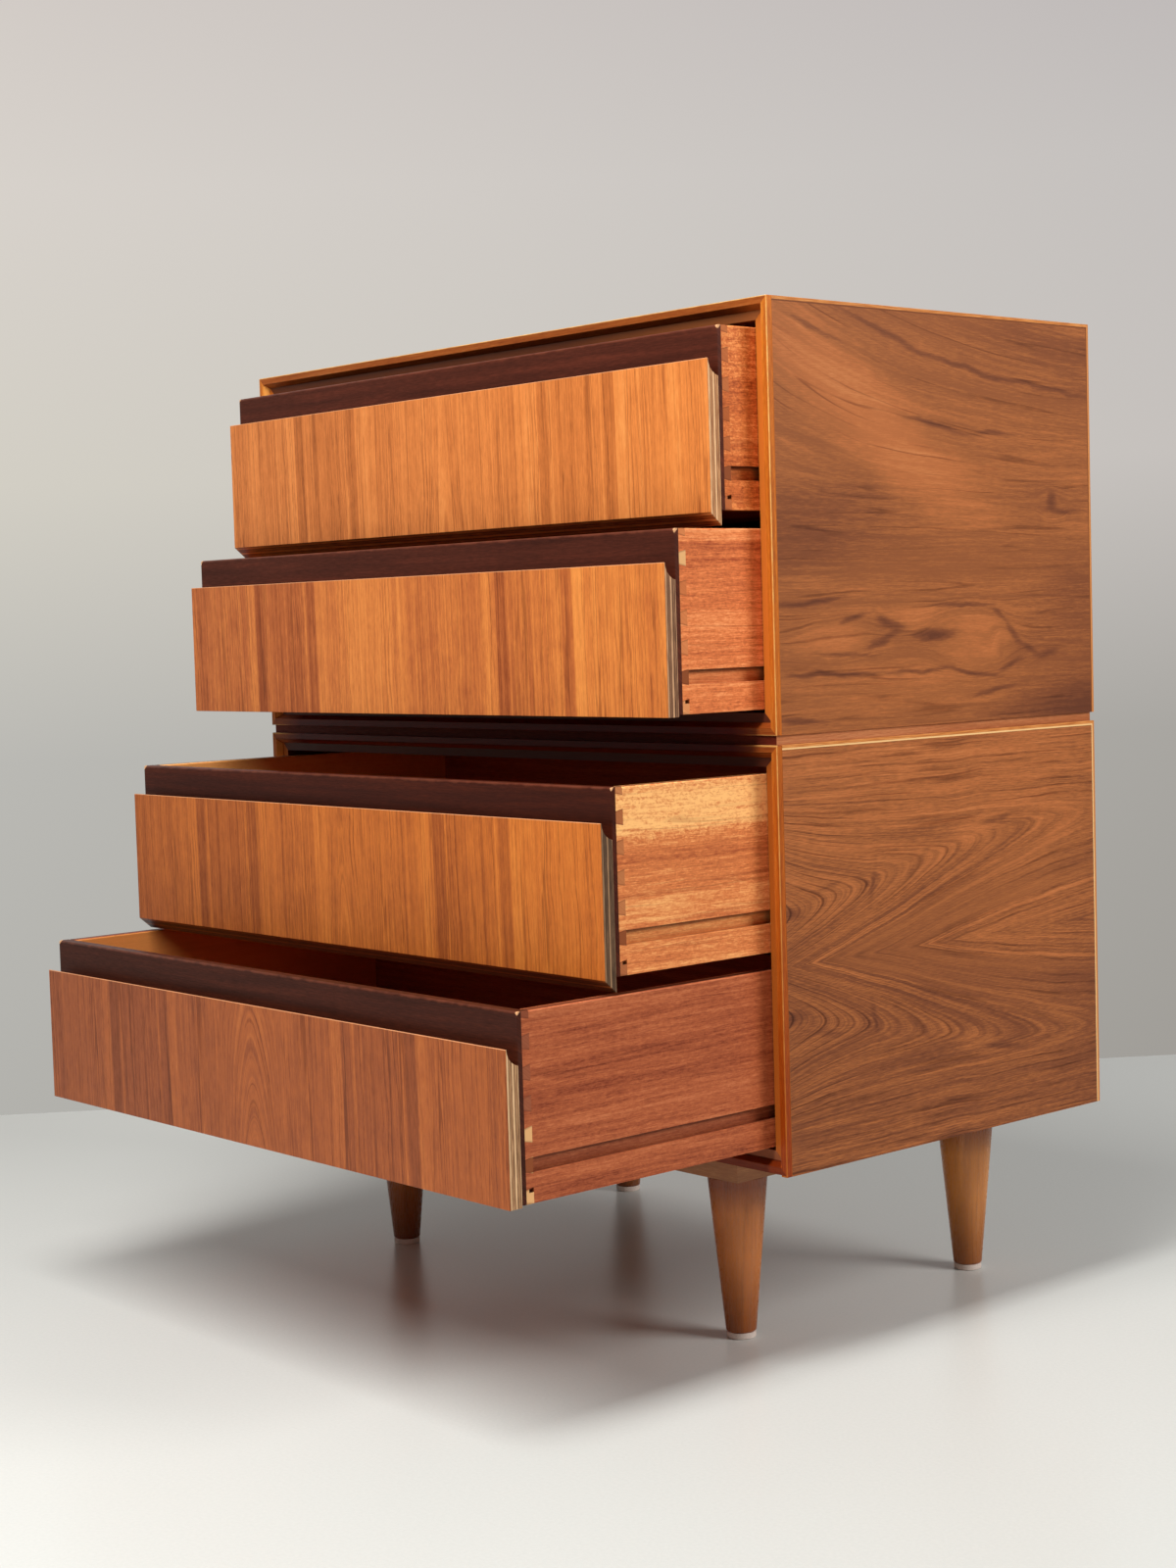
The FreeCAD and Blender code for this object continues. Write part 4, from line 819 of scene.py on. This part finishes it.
def drawer_mahogany(name, drawer, seed):
    """Mahogany, planed and thinly lacquered: fine open pores, ripple and a soft reddish shine."""
    add, x, y, z = new_material(name)
    look = side_looks[drawer]
    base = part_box(f"{drawer}_right_side")[0].z / mm
    field = add("MULTIPLY_ADD", (x, 0.5, z))
    tone, line, grit = growth(add, field, y, seed=seed, band=20.0, layer=3.2, pencil=8.0, pore=0.9,
                              drift=10.0, run=300.0)
    # Zones of the board, with fuzzy edges that wander by half of this either way
    board = add("CombineXYZ", (y, z, seed))
    fuzz = 12.0
    wander = patches(add, board, (40, 6), 3.0)
    height = add("MULTIPLY_ADD", (wander, fuzz, add("SUBTRACT", (z, base + fuzz / 2))))
    tone = bands(add, tone, height, look["zones"], crisp=look["crisp"])
    # Ripple: short bright flecks where the fibres dip, turned a little across the board
    turned_board = add("Mapping", {"Vector": board, "Rotation": (0, 0, math.radians(20)),
                                   "Scale": (1 / 4.5, 1 / 3.0, 1)})
    fleck = add("TexNoise", {"Vector": turned_board, "Scale": 1.0, "Detail": 3.0, "Distortion": 1.0})
    speckle = add("MapRange", (height, 104.0, 116.0, *look["speckle"]))
    tone = add("MULTIPLY_ADD", (add("ADD", (fleck, -0.5)), speckle, tone))
    colour = add("ValToRGB", (tone,), stops=look["shades"])
    colour = streaked(add, colour, line, "#8A4A2E", 0.3)
    # Painted light: the inner faces of the drawer are painted paler, for the light that falls into it
    out = add("ABSOLUTE", (x,))
    painted_inside_light = add("LESS_THAN", (out, inner_side))
    colour = add("Mix", (add("MULTIPLY", (painted_inside_light, 0.7)), colour, "#FFA858"), data_type="RGBA")
    # The runner groove's bed takes each drawer's painted groove tone, standing for its light and shade, and
    # painted shade darkens its upper corner
    bed = add("COMPARE", (out, groove_bed, 4.0))
    dull = add("Mix", (0.3, colour, look["groove"]), data_type="RGBA")
    painted_groove_shade = add("MapRange", (add("SUBTRACT", (z, base)), groove_height + 2.0, groove_height + 5.5, 0.0, 0.9))
    dull = add("Mix", (painted_groove_shade, dull, "#5A2A1A"), data_type="RGBA")
    colour = add("Mix", (bed, colour, dull), data_type="RGBA")
    lacquer(add, colour, grit, dull=0.4, shine=0.55)
    return bpy.data.materials[name]


back_shades = ((0.34, "#70301A"), (0.5, "#9E4A2A"), (0.66, "#C06C44"))
for count, drawer in enumerate(drawers):
    mahogany = drawer_mahogany(f"mahogany_sides_{drawer}", drawer, 40.0 + count)
    for side in ("left", "right"):
        finish(f"{drawer}_{side}_side", mahogany)
    finish(f"{drawer}_back", stained(f"mahogany_back_{drawer}", back_shades, 50.0 + count, "x", 0.5, 0.6))


# Drawer bottoms
# Thin plywood slid into grooves from behind, its face grain running from side to side.

bottom_shades = ((0.34, "#7A341C"), (0.5, "#A8502C"), (0.66, "#C87044"))
for count, drawer in enumerate(drawers):
    finish(f"{drawer}_bottom", plain_ply(f"bottom_plywood_{drawer}", bottom_shades, 60.0 + count, "x"),
           arris=0)


# Runners
# Beech strips, planed, waxed and screwed to the carcase sides, and polished by the drawers sliding on them.

runner_wood = stained("runner_hardwood", ((0.32, "#A57A4A"), (0.5, "#C79B66"), (0.68, "#DDB989")), 70.0, "y")
for level in ("upper", "lower"):
    for place in ("top_left", "top_right", "bottom_left", "bottom_right"):
        finish(f"{level}_{place}_runner", runner_wood, arris=0.3)


# Screws
# Zinc-plated steel wood screws in the runners, the spacer and the leg frame, seen only with the drawers out.

def zinc_plate(name):
    """Zinc-plated steel: a grey metal whose shine is broken by small dull scuffs."""
    add, x, y, z = new_material(name)
    place = add("CombineXYZ", (x, y, z))
    scuff = add("TexNoise", {"Vector": place, "Scale": 2.5, "Detail": 3.0})
    colour = add("ValToRGB", (scuff,), stops=((0.3, "#8C8780"), (0.6, "#B5B0A8")))
    shader = add("BsdfPrincipled", {"Base Color": colour, "Metallic": 1.0,
                                    "Roughness": add("MapRange", (scuff, 0.3, 0.7, 0.3, 0.5))})
    add("OutputMaterial", (shader,))
    return bpy.data.materials[name]


steel = zinc_plate("screw_steel")
for group in ("runner_screws", "assembly_screws"):
    finish(group, steel, arris=0)


# Floor
# A pale grey painted floor, rolled on and a little sandy, with a satin shine. It isn't part of the chest.

# Ends of its far edge, and how far it comes forward from there, in metres
floor_far = (Vector((-2.51, -1.91, 0.0)), Vector((1.34, 3.66, 0.0)))
floor_width = 4.4

form = bmesh.new()
forward = Vector((0.823, -0.569, 0.0)) * floor_width
corners = [*floor_far, floor_far[1] + forward, floor_far[0] + forward]
form.faces.new([form.verts.new(corner) for corner in reversed(corners)])
mesh = bpy.data.meshes.new("floor")
form.to_mesh(mesh)
form.free()
floor = bpy.data.objects.new("floor", mesh)
bpy.context.scene.collection.objects.link(floor)

add, x, y, z = new_material("painted_floor")
cloud = add("TexNoise", {"Vector": add("CombineXYZ", (x, y, 0.0)), "Scale": 0.003, "Detail": 1.0})
# Painted light: paler to the left, with a limit that wanders by this
light_drift = 200.0
painted_light_and_sand = add("MULTIPLY_ADD", (cloud, light_drift, x))
painted_light_and_sand = add("MapRange", (painted_light_and_sand, -800.0, 1000.0, 0.0, 1.0))
# Sand in the paint, grains of a few millimetres where real ones are finer
sand = add("TexNoise", {"Vector": add("CombineXYZ", (x, y, 0.0)), "Scale": 0.3, "Detail": 3.0})
painted_light_and_sand = add("MULTIPLY_ADD", (add("ADD", (sand, -0.5)), 0.5, painted_light_and_sand))
colour = add("ValToRGB", (painted_light_and_sand,), stops=((0.0, "#DFE0DC"), (1.0, "#C9CAC6")))
shader = add("BsdfPrincipled", {"Base Color": colour, "Roughness": 0.29, "Specular IOR Level": 0.25})
add("OutputMaterial", (shader,))
mesh.materials.append(bpy.data.materials["painted_floor"])


# Studio light
# A long soft strip on the ceiling in front of the chest and a weaker light at its right, in a pale room.

def soft_light(name, place, aim, width, length, watts, tint):
    """A rectangular lamp at a place in metres, turned to face another."""
    lamp = bpy.data.lights.new(name, "AREA")
    lamp.shape, lamp.size, lamp.size_y = "RECTANGLE", width, length
    lamp.energy = watts
    lamp.color = paint(tint)[:3]
    holder = bpy.data.objects.new(name, lamp)
    bpy.context.scene.collection.objects.link(holder)
    holder.location = place
    holder.rotation_euler = (Vector(aim) - Vector(place)).to_track_quat("-Z", "Y").to_euler()


soft_light("ceiling strip", (0.6, -2.0, 2.8), (0.6, -2.0, 0.0), 0.9, 2.8, 130.0, "#FFFEFC")
soft_light("right", (2.8, 1.1, 2.0), (0.0, 0.0, 0.5), 1.4, 1.2, 66.0, "#FFFEFC")

world = bpy.data.worlds.new("pale_room")
bpy.context.scene.world = world
world.use_nodes = True
world.node_tree.nodes.clear()
add = partial(add_node, world.node_tree)
aim = add("TexCoord").node.outputs["Generated"]
way = add("SeparateXYZ", (aim,)).node.outputs[2]
# The wall's painted light is brighter to the left, where the daylight comes from, and painted shade darkens
# it where it meets the floor
leftward = add("VectorMath", (aim, (-0.66, -0.75, 0.0)), operation="DOT_PRODUCT")
lit = add("MapRange", (leftward, -0.30, 0.30, 0.0, 1.0))
height = add("MapRange", (way, -0.25, 0.25, 0.0, 1.0))
near_wall = add("ValToRGB", (height,), stops=(
    (0.0, "#B2B1AC"), (0.40, "#BCBBB6"), (0.62, "#D4D0C5"), (0.85, "#DAD4CD"), (1.0, "#D5CEC8")))
far_wall = add("ValToRGB", (height,), stops=(
    (0.0, "#99958F"), (0.40, "#A6A39E"), (0.62, "#C4BFBC"), (0.85, "#C2BEBC"), (1.0, "#BBB6B6")))
wall = add("Mix", (lit, far_wall, near_wall), data_type="RGBA")
# What the room sends back: little from in front, some from the ceiling and more from the wall behind
from_wall = add("VectorMath", (aim, (-0.75, 0.66, 0.0)), operation="DOT_PRODUCT")
level = add("ADD", (add("MapRange", (way, -0.2, 0.6, 0.03, 0.13)),
                    add("MapRange", (from_wall, 0.0, 1.0, 0.0, 0.25))))
level = add("MULTIPLY", (level, add("MapRange", (way, -0.05, 0.02, 0.2, 1.0))))
light_in = add("Mix", (level, (0, 0, 0, 1), (0.93, 1, 1, 1)), data_type="RGBA")
rays = add("LightPath").node.outputs
seen = add("MAXIMUM", (rays["Is Camera Ray"], rays["Is Transmission Ray"]))
seen = add("MAXIMUM", (seen, rays["Is Glossy Ray"]))
sky = add("Mix", (seen, light_in, wall), data_type="RGBA")
add("OutputWorld", (add("Background", (sky, 1.0)),))


# Camera
# A long-lens view from the chest's right front corner, a little above its middle.

eye = (1.88165, -1.75801, 0.67916)
heading, nod, roll = (math.radians(a) for a in (48.6819, -3.8198, -1.6933))
image_height = 1600
focal_pixels = 2493.66
lens = bpy.data.cameras.new("camera")
lens.sensor_width = 36.0
lens.lens = focal_pixels * lens.sensor_width / image_height
camera = bpy.data.objects.new("camera", lens)
bpy.context.scene.collection.objects.link(camera)
camera.matrix_world = (
    Matrix.Translation(eye)
    @ Matrix.Rotation(heading, 4, "Z") @ Matrix.Rotation(math.radians(90) + nod, 4, "X")
    @ Matrix.Rotation(roll, 4, "Z"))
bpy.context.scene.camera = camera
bpy.context.scene.view_settings.view_transform = "Standard"
